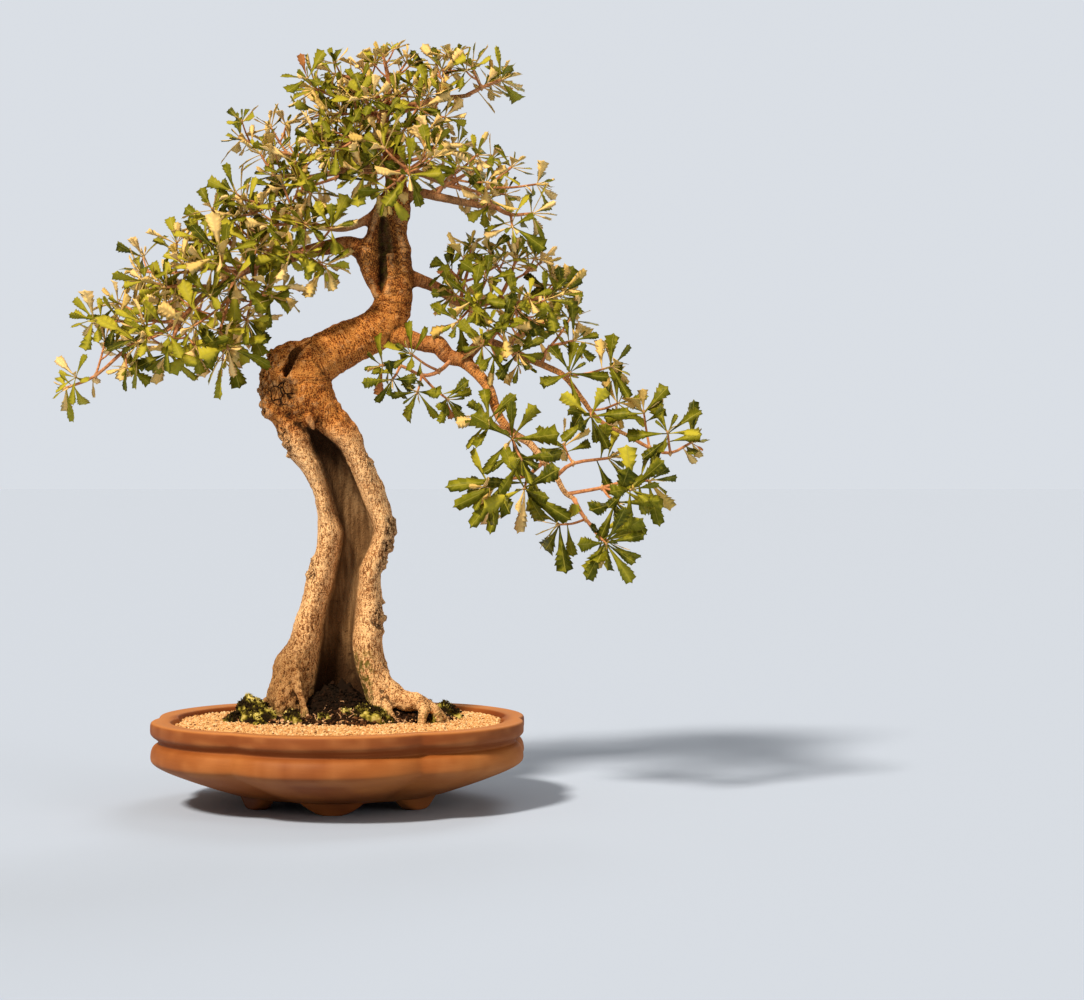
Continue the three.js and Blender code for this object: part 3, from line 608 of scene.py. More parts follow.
@dataclass(frozen=True)
class Bark:
    """Pitted tan bark, browner above: dark in cracks, brown dead wood in hollows, smoother on thin limbs.
    Painted shade darkens its dips and the deep parts of its hollows, and a painted highlight lightens its
    ridges.
    """

    dark: tuple = (0.16, 0.062, 0.019)
    middle: tuple = (0.52, 0.25, 0.095)
    pale: tuple = (0.97, 0.63, 0.31)
    aged: tuple = (0.70, 0.45, 0.21)
    stained: tuple = (0.42, 0.36, 0.28)
    dead_dark: tuple = (0.12, 0.064, 0.026)
    dead: tuple = (0.18, 0.10, 0.042)
    dead_pale: tuple = (0.31, 0.19, 0.088)
    limb: tuple = (0.42, 0.175, 0.065)
    limb_dark: tuple = (0.15, 0.052, 0.016)
    old: tuple = (0.10, 0.036, 0.011)
    black: tuple = (0.03, 0.012, 0.004)
    moss: tuple = (0.11, 0.10, 0.012)

    def material(self) -> Material:
        """The bark's material."""
        bark = Recipe("bark", 0.92, 0.12)
        grain = bark.noise(620.0, 6.0)
        furrow = bark.noise(1.0, 5.0, bark.scaled(420.0, 150.0))
        fibre = bark.mix("crossed", furrow, bark.noise(1.0, 4.0, bark.wrapped(110.0, 330.0)))
        tone = bark.weighted((grain, 0.46), (fibre, 0.36), (bark.noise(46.0, 4.0), 0.18))
        bark.colour = bark.ramp(tone, (0.42, self.dark), (0.475, self.middle), (0.535, self.pale))
        bark.cover("aged", self.aged, "MULTIPLY")
        bark.cover("stained", self.stained, "MULTIPLY")
        bark.cover("slim", bark.ramp(tone, (0.41, self.limb_dark), (0.56, self.limb)))
        shallow = bark.sum("ADD", bark.sum("MULTIPLY", "aged", 0.2), 0.4)
        pits = bark.mix(shallow, bark.share(bark.grains(520.0), 0.14, 0.34), WHITE)
        bark.colour = bark.mix(pits, self.dark, bark.colour)
        streak = bark.noise(1.0, 5.0, bark.scaled(150.0, 14.0))
        dead_wood = bark.ramp(streak, (0.36, self.dead_dark), (0.5, self.dead), (0.64, self.dead_pale))
        bark.cover("hollow", dead_wood)
        bark.cover(bark.sum("MULTIPLY", "old", bark.share(grain, 0.6, 0.42, 0.9)), self.old)
        # Painted shade: the dips of the relief are darkened
        bark.cover(bark.share("dip", 0.08, 0.7, 0.8), self.black)
        # Painted highlight: the ridges of the relief are lightened
        bark.cover(bark.share("dip", -0.15, -0.8, 0.25), self.pale)
        seam = bark.share(bark.grains(88.0, "DISTANCE_TO_EDGE"), 0.075, 0.02)
        crack = bark.sum("MULTIPLY", seam, "cracked")
        bark.cover(crack, self.black)
        # Painted shade deep in the hollows: at the foot and under the top of the lower one, and in the narrow
        # cleft of the upper one
        bark.cover("painted_hollow_shade", self.black)
        bark.cover(bark.sum("MULTIPLY", "damp", bark.share(bark.noise(160.0, 4.0), 0.42, 0.6)), self.moss)
        return bark.finished((bark.sum("SUBTRACT", fibre, crack), 1.0, 3.0), (grain, 0.8, 2.4))


@dataclass(frozen=True)
class LeafTop:
    """The leathery half-gloss green upper face, with a pale midrib and fine side veins."""

    deep: tuple = (0.042, 0.052, 0.002)
    green: tuple = (0.150, 0.157, 0.006)
    lime: tuple = (0.45, 0.41, 0.032)
    rib: tuple = (0.40, 0.36, 0.06)
    margin: tuple = (0.27, 0.2, 0.035)
    withered: tuple = (0.38, 0.15, 0.045)
    veins: float = 14.0

    def material(self) -> Material:
        """The upper face's material."""
        leaf = Recipe("leaf_top", 0.45, 0.09)
        leaf.colour = leaf.ramp("tone", (0.05, self.deep), (0.5, self.green), (0.92, self.lime))
        leaf.cover(leaf.share(leaf.noise(130.0), 0.45, 0.7, 0.35), self.lime)
        across = leaf.node("SeparateXYZ", "X", {"Vector": leaf.node("UVMap", "UV", uv_map="leaf")})
        off_rib = leaf.sum("ABSOLUTE", leaf.sum("SUBTRACT", across, 0.5))
        leaf.cover(leaf.share(off_rib, 0.034, 0.01, 0.7), self.rib)
        slant = leaf.sum("SUBTRACT", across.node.outputs["Y"], leaf.sum("MULTIPLY", off_rib, 0.35))
        vein = leaf.sum("PINGPONG", leaf.sum("MULTIPLY", slant, self.veins), 0.5)
        leaf.cover(leaf.share(vein, 0.08, 0.0, 0.2), self.rib)
        leaf.cover(leaf.share(off_rib, 0.42, 0.5, 0.35), self.margin)
        leaf.cover(leaf.share("withered", 0.2, 0.8), self.withered)
        leaf.rough("tone", 0.38, 0.55)
        return leaf.finished((vein, 0.25, 0.35))


@dataclass(frozen=True)
class LeafUnder:
    """The pale felted lower face."""

    pale: tuple = (0.93, 0.67, 0.29)
    dull: tuple = (0.62, 0.43, 0.10)
    withered: tuple = (0.42, 0.2, 0.08)

    def material(self) -> Material:
        """The lower face's material."""
        felt = Recipe("leaf_under", 0.85, 0.1)
        felt.colour = felt.mix("tone", self.dull, self.pale)
        felt.cover(felt.share(felt.noise(300.0), 0.5, 0.75, 0.4), self.dull)
        felt.cover(felt.share("withered", 0.2, 0.8), self.withered)
        return felt.finished((felt.grains(900.0), 0.3, 0.2))


@dataclass(frozen=True)
class TwigBark:
    """Pinkish tan skin of the year's twigs."""

    pink: tuple = (0.60, 0.28, 0.12)
    brown: tuple = (0.33, 0.125, 0.04)

    def material(self) -> Material:
        """The twigs' material."""
        twig = Recipe("twig_bark", 0.7, 0.3)
        skin = twig.noise(260.0, 4.0)
        twig.colour = twig.ramp(skin, (0.36, self.brown), (0.6, self.pink))
        return twig.finished((skin, 0.4, 0.4))


@dataclass(frozen=True)
class Speckled:
    """A plain finish of small stuff: colours from piece to piece, each piece painted with its tone."""

    name: str
    stops: tuple
    fine: float = 1400.0
    roughness: float = 0.92
    veiled: tuple = (0.62, 0.6, 0.58)

    def material(self) -> Material:
        """The finish's material."""
        stuff = Recipe(self.name, self.roughness, 0.12)
        veil = stuff.noise(self.fine)
        stuff.colour = stuff.ramp("tone", *self.stops)
        stuff.cover(0.7, stuff.ramp(veil, (0.3, self.veiled), (0.65, WHITE)), "MULTIPLY")
        return stuff.finished((veil, 0.4, 0.4))


GOLD_GRAVEL = Speckled(
    "gold_gravel",
    (
        (0.0, (0.10, 0.05, 0.025)),
        (0.06, (0.44, 0.20, 0.075)),
        (0.3, (0.66, 0.36, 0.14)),
        (0.65, (0.80, 0.50, 0.22)),
        (0.95, (0.90, 0.68, 0.40)),
    ),
)
DARK_SOIL = Speckled(
    "dark_soil",
    (
        (0.0, (0.006, 0.003, 0.001)),
        (0.6, (0.028, 0.011, 0.004)),
        (0.85, (0.13, 0.055, 0.02)),
        (1.0, (0.58, 0.35, 0.19)),
    ),
)
GREEN_MOSS = Speckled(
    "green_moss",
    (
        (0.0, (0.012, 0.006, 0.002)),
        (0.3, (0.030, 0.022, 0.003)),
        (0.52, (0.13, 0.11, 0.012)),
        (0.75, (0.38, 0.33, 0.05)),
        (1.0, (0.68, 0.60, 0.20)),
    ),
    fine=2200.0,
)
BUD_SCALES = Speckled("bud_scales", ((0.0, (0.42, 0.21, 0.1)), (1.0, (0.72, 0.5, 0.24))), 900.0, 0.7)


@dataclass(frozen=True)
class ScreenPlastic:
    """Black moulded mesh."""

    black: tuple = (0.012, 0.012, 0.012)
    dusty: tuple = (0.09, 0.06, 0.04)

    def material(self) -> Material:
        """The plastic's material."""
        plastic = Recipe("screen_plastic", 0.5)
        dust = plastic.noise(300.0)
        plastic.colour = plastic.mix(plastic.share(dust, 0.5, 0.8, 0.4), self.black, self.dusty)
        return plastic.finished((dust, 0.2, 0.1))


# The pot


def into_fold(angle: Array) -> Array:
    """How far an angle round the pot is from the middle of a lobe, 0 there and 1 in the fold."""
    turn = angle * LOBES / FULL_TURN
    return np.abs(2 * (turn - np.rint(turn)))


def fold_share(angle: Array) -> Array:
    """How deep the fold between two lobes is at an angle round the pot, from 0 to 1."""
    return into_fold(angle) ** 3


def polar(radius: Array, angle: Array, height: Array) -> Array:
    """Places at a radius and an angle round the pot, where angle 0 is the front."""
    x, y, z = np.broadcast_arrays(radius * np.sin(angle), -radius * np.cos(angle), height)
    return np.stack([x, y, z], axis=-1)


def round_angles(count: int) -> Array:
    """Angles round the pot, counterclockwise from above, from its right, where a disc's points start."""
    return np.arange(count) * FULL_TURN / count + math.pi / 2


@dataclass(frozen=True)
class Pot:
    """The six-lobed pot with its cloud feet and drain hole, one piece as fired."""

    sides: int = 216
    crease: float = 0.035
    crowding: float = 0.12
    # Radius, height and how far the folds cut in: from the drain hole under the foot ring, up the outside,
    # over the rim and down the inside
    profile: tuple = (
        (DRAIN_RADIUS, 10, 0), (DRAIN_RADIUS + 1.2, 8.8, 0), (60, 8.2, 0.03), (96, 10.4, 0.06),
        (124, 15.2, 0.115), (150, 23.2, 0.12), (176, 32.4, 0.115), (198, 41, 0.105), (211.6, 47.2, 0.085),
        (219.6, 52.6, 0.07), (221.8, 57.4, 0.062), (221.2, 65, 0.06), (219, 70.6, 0.059),
        (215.4, 73.6, 0.059), (212.8, 75.2, 0.06), (212.6, 77.2, 0.06), (215.4, 80.6, 0.06),
        (219.4, 83.6, 0.06), (221.6, 86.8, 0.058), (221.8, 92, 0.057), (221.4, 97.2, 0.056),
        (219.4, 99.6, RIM_NOTCH), (215.6, 100.2, RIM_NOTCH), (207, 99.4, RIM_NOTCH),
        (200.2, 99.4, RIM_NOTCH), (198, 98, RIM_NOTCH), (196.6, 93, RIM_NOTCH), (196.2, 84, RIM_NOTCH),
        (196.4, 74, RIM_NOTCH), (202, 65, 0.057), (207.4, 57, 0.06), (205, 50, 0.07), (192, 43, 0.09),
        (160, 32, 0.10), (126, 22.4, 0.105), (90, FLOOR_TOP, 0.06), (DRAIN_RADIUS + 2, FLOOR_TOP, 0),
        (DRAIN_RADIUS, FLOOR_TOP - 1.2, 0),
    )
    # Half width and half depth of a foot at each height above its sole
    foot_steps: tuple = (
        (0, 12, 8.8), (0.4, 13, 9.6), (1.6, 17, 10), (4, 22.5, 10), (7, 27.5, 10), (11, 33, 10.2),
        (15, 38, 10.6), (18, 41, 11),
    )
    foot_sides: int = 48
    foot_squareness: float = 0.55
    smooth_below: float = 38.0

    def bowl(self) -> Piece:
        """The lobed bowl: its profile is carried round and pressed in at the folds."""
        angles = round_angles(self.sides)
        angles = angles + self.crowding * np.sin(LOBES * angles)
        fold = np.clip(1 - np.hypot(1 - into_fold(angles), self.crease), 0, 1) ** 3
        rings = []
        for radius, height, notch in through(self.profile, 3):
            hand = 0.4 * noise(polar(radius, angles, height), 60.0, 3)
            out = radius * (1 - notch * fold) + (hand if radius > 150 else 0.0)
            lift = 0.35 * np.sin(2 * angles + 0.7) if height > 80 else 0.0
            rings.append(polar(out, angles, height + lift))
        return lofted("pot_body", np.array(rings), ring_shaped=True)

    def foot(self, turn: float) -> Piece:
        """One cloud foot under a lobe, its flat sole on the ground."""
        corners = np.arange(self.foot_sides) * FULL_TURN / self.foot_sides
        ways = (np.cos(corners), np.sin(corners))
        wide, deep = (np.sign(way) * np.abs(way) ** self.foot_squareness for way in ways)
        rings = []
        for height, half_width, half_depth in through(self.foot_steps, 2):
            across, out = wide * half_width, deep * half_depth - FOOT_RADIUS
            x = across * math.cos(turn) - out * math.sin(turn)
            y = across * math.sin(turn) + out * math.cos(turn)
            rings.append(np.stack([x, y, np.full(self.foot_sides, max(height, 0.0))], axis=1))
        return lofted("foot", np.array(rings))

    def build(self) -> None:
        """The whole pot, with its edges painted as wear, the top of its rim lighter as a painted highlight
        and the face of its lip darker as painted shade.
        """
        bowl = self.bowl()
        for lobe in range(LOBES):
            combine(bowl, self.foot(FULL_TURN * lobe / LOBES), "UNION")
        mesh = bowl.data
        points = from_metres(read_points(mesh))
        edge = -hollowness(mesh, 3)
        x, y, z = points.T
        outside = rise(np.hypot(x, y), 190.0, 204.0)
        # Painted shade on the face of the lip, under the rim
        paint(mesh, "lip", 0.85 * outside * rise(z, 72.0, 80.0) * rise(z, 99.0, 97.0))
        # A painted highlight on the top of the rim, joined below with the wear on the edges
        rim = 0.75 * outside * rise(z, 97.5, 99.5)
        wear_and_rim_highlight = rise(edge, 0.05, 0.5) * (0.3 + 0.7 * rise(noise(points, 14.0, 8), -0.3, 0.6)) * 0.28
        paint(mesh, "wear_and_rim_highlight", np.maximum(wear_and_rim_highlight, rim))
        smooth_shade(mesh)
        activate(bowl)
        bpy.ops.object.shade_smooth_by_angle(angle=math.radians(self.smooth_below))
        dress(bowl, FiredClay().material())
        settle(bowl, "clay", "pot")


@dataclass(frozen=True)
class DrainScreen:
    """The plastic mesh over the drain hole."""

    half: float = 19.4
    threads: int = 14
    thickness: float = 1.1
    lift: float = 0.9

    def build(self) -> None:
        """A grid whose edges are given thickness."""
        piece = primitive(
            bpy.ops.mesh.primitive_grid_add,
            x_subdivisions=self.threads,
            y_subdivisions=self.threads,
            size=2 * self.half * MM,
            location=to_metres((0.0, 0.0, FLOOR_TOP + self.lift)),
        )
        bpy.ops.object.transform_apply(location=True, rotation=False, scale=False)
        finish_with(piece, "WIREFRAME", thickness=self.thickness * MM, use_boundary=True)
        piece.name = "drain_mesh"
        dress(piece, ScreenPlastic().material())
        settle(piece, "screen", "drain_screen")


# Soil, gravel and moss


def mound_edge(angle: Array) -> Array:
    """The edge of the root mound, an uneven oval inside the pot."""
    waver = 1 + 0.05 * np.sin(3 * angle + 1) + 0.035 * np.sin(5 * angle)
    return waver / np.hypot(np.sin(angle) / MOUND_HALF_WIDTH, np.cos(angle) / MOUND_HALF_DEPTH)


def mound_height(x: Array, y: Array, share: Array) -> Array:
    """Height of the mound's top, where share is 0 in its middle and 1 on its edge."""
    lumps = 2.2 * np.sin(x * 0.11 + 1) * np.cos(y * 0.13) + 1.4 * np.sin(x * 0.23 + y * 0.19)
    in_hollow = HEAP_RISE * np.exp(-(((x + 2.0) / 27.0) ** 4) - ((y + 6.0) / 25.0) ** 2)
    in_hollow = in_hollow * (1 + 0.4 * np.sin(x * 0.31 + 0.9) * np.cos(y * 0.27))
    return GRAVEL_TOP + 2 + (MOUND_RISE + lumps) * (1 - share * share) + in_hollow


def ground_height(x: float, y: float) -> float:
    """Height of the mound or the gravel at a place, seen from above."""
    angle = math.atan2(x, -y)
    reach, edge = math.hypot(x, y), float(mound_edge(angle))
    if reach < edge:
        return float(mound_height(x, y, reach / edge))
    outer = (WELL_RADIUS - 3.2) * (1 - RIM_NOTCH * float(fold_share(angle)))
    share = (reach - edge) / (outer - edge)
    return GRAVEL_TOP - GRAVEL_SLOPE * share * share


def around(angle: float, reach: float) -> tuple[float, float]:
    """The x and y of a place at an angle round the pot, 0 at the front, and that far from its middle."""
    return reach * math.sin(angle), -reach * math.cos(angle)


class Stones(Copies):
    """A few small stones, modelled once each, that are copied many times with their own size and turn."""

    def __init__(self, seed: int, roughness: float) -> None:
        """Models the stones.

        Args:
            seed: sets the order of random draws.
            roughness: how far a stone's corners move, as a share of its radius.
        """
        super().__init__()
        self.draw = random.Random(seed)
        self.masters = [self.model(roughness, number) for number in range(5)]

    def model(self, roughness: float, number: int) -> tuple[Array, list]:
        """The points and faces of one stone of radius 1, a ball of twenty faces with its corners moved."""
        points, faces = taken_apart(ball(1))
        for k in range(len(points)):
            points[k] *= 1 + roughness * (2 * wobble(k * 3.1 + number * 17.7) - 1)
        return points, faces

    def lay(self, place: Sequence[float], radius: float, tone: float, flat: float) -> None:
        """Copies one stone.

        Args:
            place: its middle, in millimetres.
            radius: its radius, in millimetres.
            tone: the painted tone, 0 to 1.
            flat: its height as a share of its width.
        """
        points, faces = self.masters[self.draw.randrange(len(self.masters))]
        a, b = self.draw.uniform(0, FULL_TURN), self.draw.uniform(-0.5, 0.5)
        turn = np.array([[math.cos(a), -math.sin(a), 0], [math.sin(a), math.cos(a), 0], [0, 0, 1]])
        tilt = np.array([[1, 0, 0], [0, math.cos(b), -math.sin(b)], [0, math.sin(b), math.cos(b)]])
        stretch = np.array([radius * self.draw.uniform(0.85, 1.25), radius, radius * flat])
        self.gather((points * stretch) @ tilt.T @ turn.T + np.asarray(place, float), faces, [tone])


@dataclass(frozen=True)
class Gravel:
    """The gold top dressing: a heaped ring with its loose grains on it."""

    grains: int = 6200
    smallest: float = 1.0
    largest: float = 2.1
    sides: int = 220
    rings: int = 34
    dark_share: float = 0.045

    def bed(self) -> Piece:
        """The ring under the loose grains, its top rough."""
        angles = round_angles(self.sides)
        outer = (WELL_RADIUS - 3.4) * (1 - RIM_NOTCH * fold_share(angles))
        inner = mound_edge(angles) - 2.0
        rings = [polar(inner, angles, GRAVEL_BOTTOM + 0.5), polar(outer - 2, angles, GRAVEL_BOTTOM + 0.5)]
        for share in np.linspace(1, 0, self.rings):
            flat = polar(inner + (outer - inner) * share, angles, GRAVEL_TOP - GRAVEL_SLOPE * share**2 - 0.9)
            near, name = cells(flat, GRAIN_CELL, 21)
            flat[:, 2] += np.minimum(near, 0.35) * 2.4 + 0.7 * (name - 0.5) - (0.7 if share in (0, 1) else 0)
            rings.append(flat)
        piece = lofted("gravel_bed", np.array(rings), ring_shaped=True)
        tone = cells(from_metres(read_points(piece.data)), GRAIN_CELL, 21)[1]
        paint(piece.data, "tone", 0.12 + 0.8 * tone)
        return piece

    def build(self) -> None:
        """The ring with its grains, one piece."""
        stones = Stones(71, 0.22)
        draw = random.Random(7)
        widest = WELL_RADIUS - 5
        laid = 0
        while laid < self.grains:
            angle = draw.uniform(0, FULL_TURN)
            reach = math.sqrt(draw.uniform(0.0, 1.0)) * widest
            nearest = float(mound_edge(angle)) - 9 * draw.random()
            if not nearest < reach < widest * (1 - RIM_NOTCH * float(fold_share(angle))):
                continue
            x, y = around(angle, reach)
            radius = self.smallest + (self.largest - self.smallest) * draw.random() ** 1.6
            tone = 0.02 if draw.random() < self.dark_share else draw.uniform(0.16, 1.0)
            stones.lay((x, y, ground_height(x, y) + draw.uniform(-0.5, 0.7)), radius, tone, 0.75)
            laid += 1
        piece = joined("gravel_top", [stones.piece("grains", "tone"), self.bed()])
        dress(piece, GOLD_GRAVEL.material())
        settle(piece, "gravel", "gravel")


@dataclass(frozen=True)
class Soil:
    """The soil that fills the pot and rises to the root mound, with crumbs and rootlets on it."""

    sides: int = 150
    rings: int = 34
    crumbs: int = 2400
    rootlets: int = 30
    # Radius, height and how far the folds cut in, from the pot's floor up to the gravel
    wall: tuple = (
        (92, FLOOR_TOP + 0.9, 0.06), (124, 23.4, 0.11), (190, 44, 0.09), (206, 57.2, 0.06),
        (194.6, 74.4, RIM_NOTCH), (194, GRAVEL_BOTTOM, RIM_NOTCH),
    )

    def fill(self) -> Piece:
        """The fill of the pot and the mound on it, its top crumbly, with painted shade darkening it inside
        the hollow.
        """
        angles = round_angles(self.sides)
        fold = fold_share(angles)
        rings = [polar(radius * (1 - notch * fold), angles, height) for radius, height, notch in self.wall]
        edge = mound_edge(angles) - 0.6
        rings.append(polar(edge, angles, GRAVEL_BOTTOM))
        for share in np.linspace(1, 0.02, self.rings):
            top = polar(edge * share, angles, GRAVEL_TOP)
            top[:, 2] = mound_height(top[:, 0], top[:, 1], share) - 0.8
            near, name = cells(top, CRUMB_CELL, 33)
            top[:, 2] += np.minimum(near, 0.4) * 3.0 + 1.4 * (name - 0.5) + 0.8 * noise(top, 9.0, 5)
            rings.append(top)
        piece = lofted("fill", np.array(rings))
        points = from_metres(read_points(piece.data))
        # Painted shade on the soil inside the trunk's hollow
        shaded = rise(np.abs(points[:, 0]), 40.0, 30.0) * rise(points[:, 1], -50.0, -40.0)
        paint(piece.data, "tone", (0.15 + 0.65 * cells(points, CRUMB_CELL, 33)[1]) * (1 - 0.75 * shaded))
        return piece

    def loose_crumbs(self, draw: random.Random) -> Piece:
        """Crumbs on the mound, more of them in front, darkened inside the hollow as painted shade, and pale
        at the left front.
        """
        stones = Stones(19, 0.3)
        for _ in range(self.crumbs):
            front = draw.random() < 0.65
            angle = draw.uniform(-1.75, 1.75) if front else draw.uniform(0, FULL_TURN)
            share = math.sqrt(draw.uniform(0.05, 1.06))
            x, y = around(angle, float(mound_edge(angle)) * share)
            radius = 0.9 + 2.3 * draw.random() ** 2
            tone = draw.random() ** (2.2 if share < 0.85 else 1.0)
            # Painted shade: crumbs inside the trunk's hollow are darkened
            if abs(x) < 32 and y > -46:
                tone *= 0.45
            elif -62 < x < -6 and share > 0.82:
                tone = max(tone, wobble(x) * 1.05)
            stones.lay((x, y, ground_height(x, y) + draw.uniform(-0.2, 1.0)), radius, tone, 0.8)
        return stones.piece("crumbs", "tone")

    def fine_roots(self, draw: random.Random) -> Piece:
        """Fine pinkish roots that lie on the mound."""
        lines = []
        for _ in range(self.rootlets):
            angle, share = draw.uniform(-2.0, 2.0), draw.uniform(0.55, 0.95)
            heading = draw.uniform(0, FULL_TURN)
            x, y = around(angle, float(mound_edge(angle)) * share)
            line = []
            for step in range(5):
                lift = 0.6 + 1.2 * math.sin(step * math.pi / 4)
                line.append((x, y, ground_height(x, y) + lift, 0.75 - 0.1 * step))
                heading += draw.uniform(-0.6, 0.6)
                x, y = x + 4.0 * math.cos(heading), y + 2.6 * math.sin(heading)
            lines.append(np.array(line))
        piece = tubes("rootlets", lines, 1)
        paint(piece.data, "tone", np.full(len(piece.data.vertices), 0.97))
        return piece

    def build(self) -> None:
        """The soil with its crumbs and rootlets, one piece."""
        fill = self.fill()
        draw = random.Random(12)
        piece = joined("root_mound", [self.loose_crumbs(draw), fill, self.fine_roots(draw)])
        dress(piece, DARK_SOIL.material())
        settle(piece, "soil", "soil")


@dataclass(frozen=True)
class Cushion:
    """A moss cushion: its middle, half widths and the height of its crown, in millimetres."""

    x: float
    y: float
    half_width: float
    half_depth: float
    crown: float

    @property
    def middle(self) -> Array:
        """The middle of its foot."""
        return np.array([self.x, self.y, MOSS_BASE])

    @property
    def size(self) -> Array:
        """Its half width, half depth and height."""
        return np.array([self.half_width, self.half_depth, self.crown - MOSS_BASE])


CUSHIONS = {
    "moss_left": [
        Cushion(-99, -14, 27, 22, 124), Cushion(-84, -38, 19, 13, 115), Cushion(-121, -22, 13, 11, 111),
        Cushion(-52, -50, 14, 9, 114), Cushion(-90, -56, 10, 6, 107),
    ],
    "moss_centre": [
        Cushion(36, -47, 29, 13, 118), Cushion(12, -48, 12, 9, 114), Cushion(-14, -54, 9, 6, 110),
        Cushion(60, -52, 9, 6, 109),
    ],
    "moss_right": [Cushion(124, 12, 20, 16, 118), Cushion(112, -40, 6, 5, 109), Cushion(96, 30, 16, 12, 117)],
}


@dataclass(frozen=True)
class Moss:
    """Moss cushions on the mound, each with the smaller clumps beside it."""

    # A cushion with half widths that multiply to tuft_area has so many tufts
    tufts: int = 520
    tuft_area: int = 600
    crumb_area: int = 7
    pale_share: float = 0.12

    def clump(self, cushion: Cushion) -> Piece:
        """One cushion: a ball pressed to its half widths, with knobs a few millimetres wide."""
        piece = ball(5)
        way = read_points(piece.data)
        points = way * cushion.size + cushion.middle
        near = np.minimum(cells(points, 4.2, 42)[0], 0.5)
        points += way * (self.lumps(points) + near * 2.6 - 1.4)[:, None]
        points[:, 2] = np.maximum(points[:, 2], MOSS_BASE - 2)
        write_points(piece.data, to_metres(points))
        paint(piece.data, "tone", np.clip(self.patches(points) + 0.5 * (near - 0.3), 0, 1))
        return piece

    def lumps(self, points: Array) -> Array:
        """How far the moss swells or sinks at each point, in millimetres."""
        return 5.0 * noise(points, 15.0, 40) + 2.6 * noise(points, 7.0, 41)

    def patches(self, points: Array) -> Array:
        """The moss's tone at each point, in light and dark patches."""
        spots = 0.75 * noise(points, 10.0, 44) + 0.55 * noise(points, 3.6, 45)
        return np.clip(0.42 + spots + 0.04 * self.lumps(points), 0.02, 1)

    def stems(self, cushions: Sequence[Cushion], draw: random.Random) -> Piece:
        """The short leafy stems that stand out of the cushions, three-sided and pointed."""
        stems = Copies()
        for cushion in cushions:
            for _ in range(int(self.tufts * cushion.half_width * cushion.half_depth / self.tuft_area)):
                angle, share = draw.uniform(0, FULL_TURN), math.sqrt(draw.random()) * 0.97
                up = math.sqrt(1 - share * share)
                normal = np.array([share * math.cos(angle), share * math.sin(angle), up])
                root = normal * cushion.size * 0.99 + cushion.middle
                swell = float(self.lumps(root[None])[0] - 0.4)
                tone = float(np.clip(self.patches(root[None])[0] + draw.uniform(-0.25, 0.3), 0, 1))
                root = root + normal * swell
                lean = np.array([draw.uniform(-0.6, 0.6), draw.uniform(-0.6, 0.6), 0.4])
                tip = root + (normal + lean) * draw.uniform(1.0, 2.4)
                turn = draw.uniform(0, FULL_TURN)
                swings = [turn + corner * FULL_TURN / 3 for corner in range(3)]
                feet = [root + 0.7 * np.array([math.cos(swing), math.sin(swing), 0.0]) for swing in swings]
                stems.gather(np.array([*feet, tip]), [(0, 1, 3), (1, 2, 3), (2, 0, 3), (2, 1, 0)], [tone])
        return stems.piece("stems", "tone")

    def litter(self, cushions: Sequence[Cushion], draw: random.Random) -> Piece:
        """Crumbs of dark soil and a few pale ones that lie on the moss."""
        stones = Stones(draw.randrange(999), 0.3)
        for cushion in cushions:
            for _ in range(int(cushion.half_width * cushion.half_depth / self.crumb_area)):
                angle, share = draw.uniform(0, FULL_TURN), math.sqrt(draw.random())
                up = math.sqrt(1 - share * share)
                x = cushion.x + cushion.half_width * share * math.cos(angle)
                y = cushion.y + cushion.half_depth * share * math.sin(angle)
                z = MOSS_BASE + (cushion.crown - MOSS_BASE) * up
                swell = float(self.lumps(np.array([[x, y, z]]))[0])
                tone = 1.0 if draw.random() < self.pale_share else draw.uniform(0.0, 0.3)
                stones.lay((x, y, z + swell * up), draw.uniform(0.8, 2.0), tone, 0.8)
        return stones.piece("litter", "tone")

    def build(self) -> None:
        """The three groups of cushions, each standing for its own node."""
        finish = GREEN_MOSS.material()
        for number, (node, cushions) in enumerate(CUSHIONS.items()):
            draw = random.Random(90 + number)
            clumps = [self.clump(cushion) for cushion in cushions]
            loose = [self.stems(cushions, draw), self.litter(cushions, draw)]
            piece = joined(f"{node}_cushions", [*clumps, *loose])
            dress(piece, finish)
            smooth_shade(piece.data)
            settle(piece, "moss", node)


# The trunk

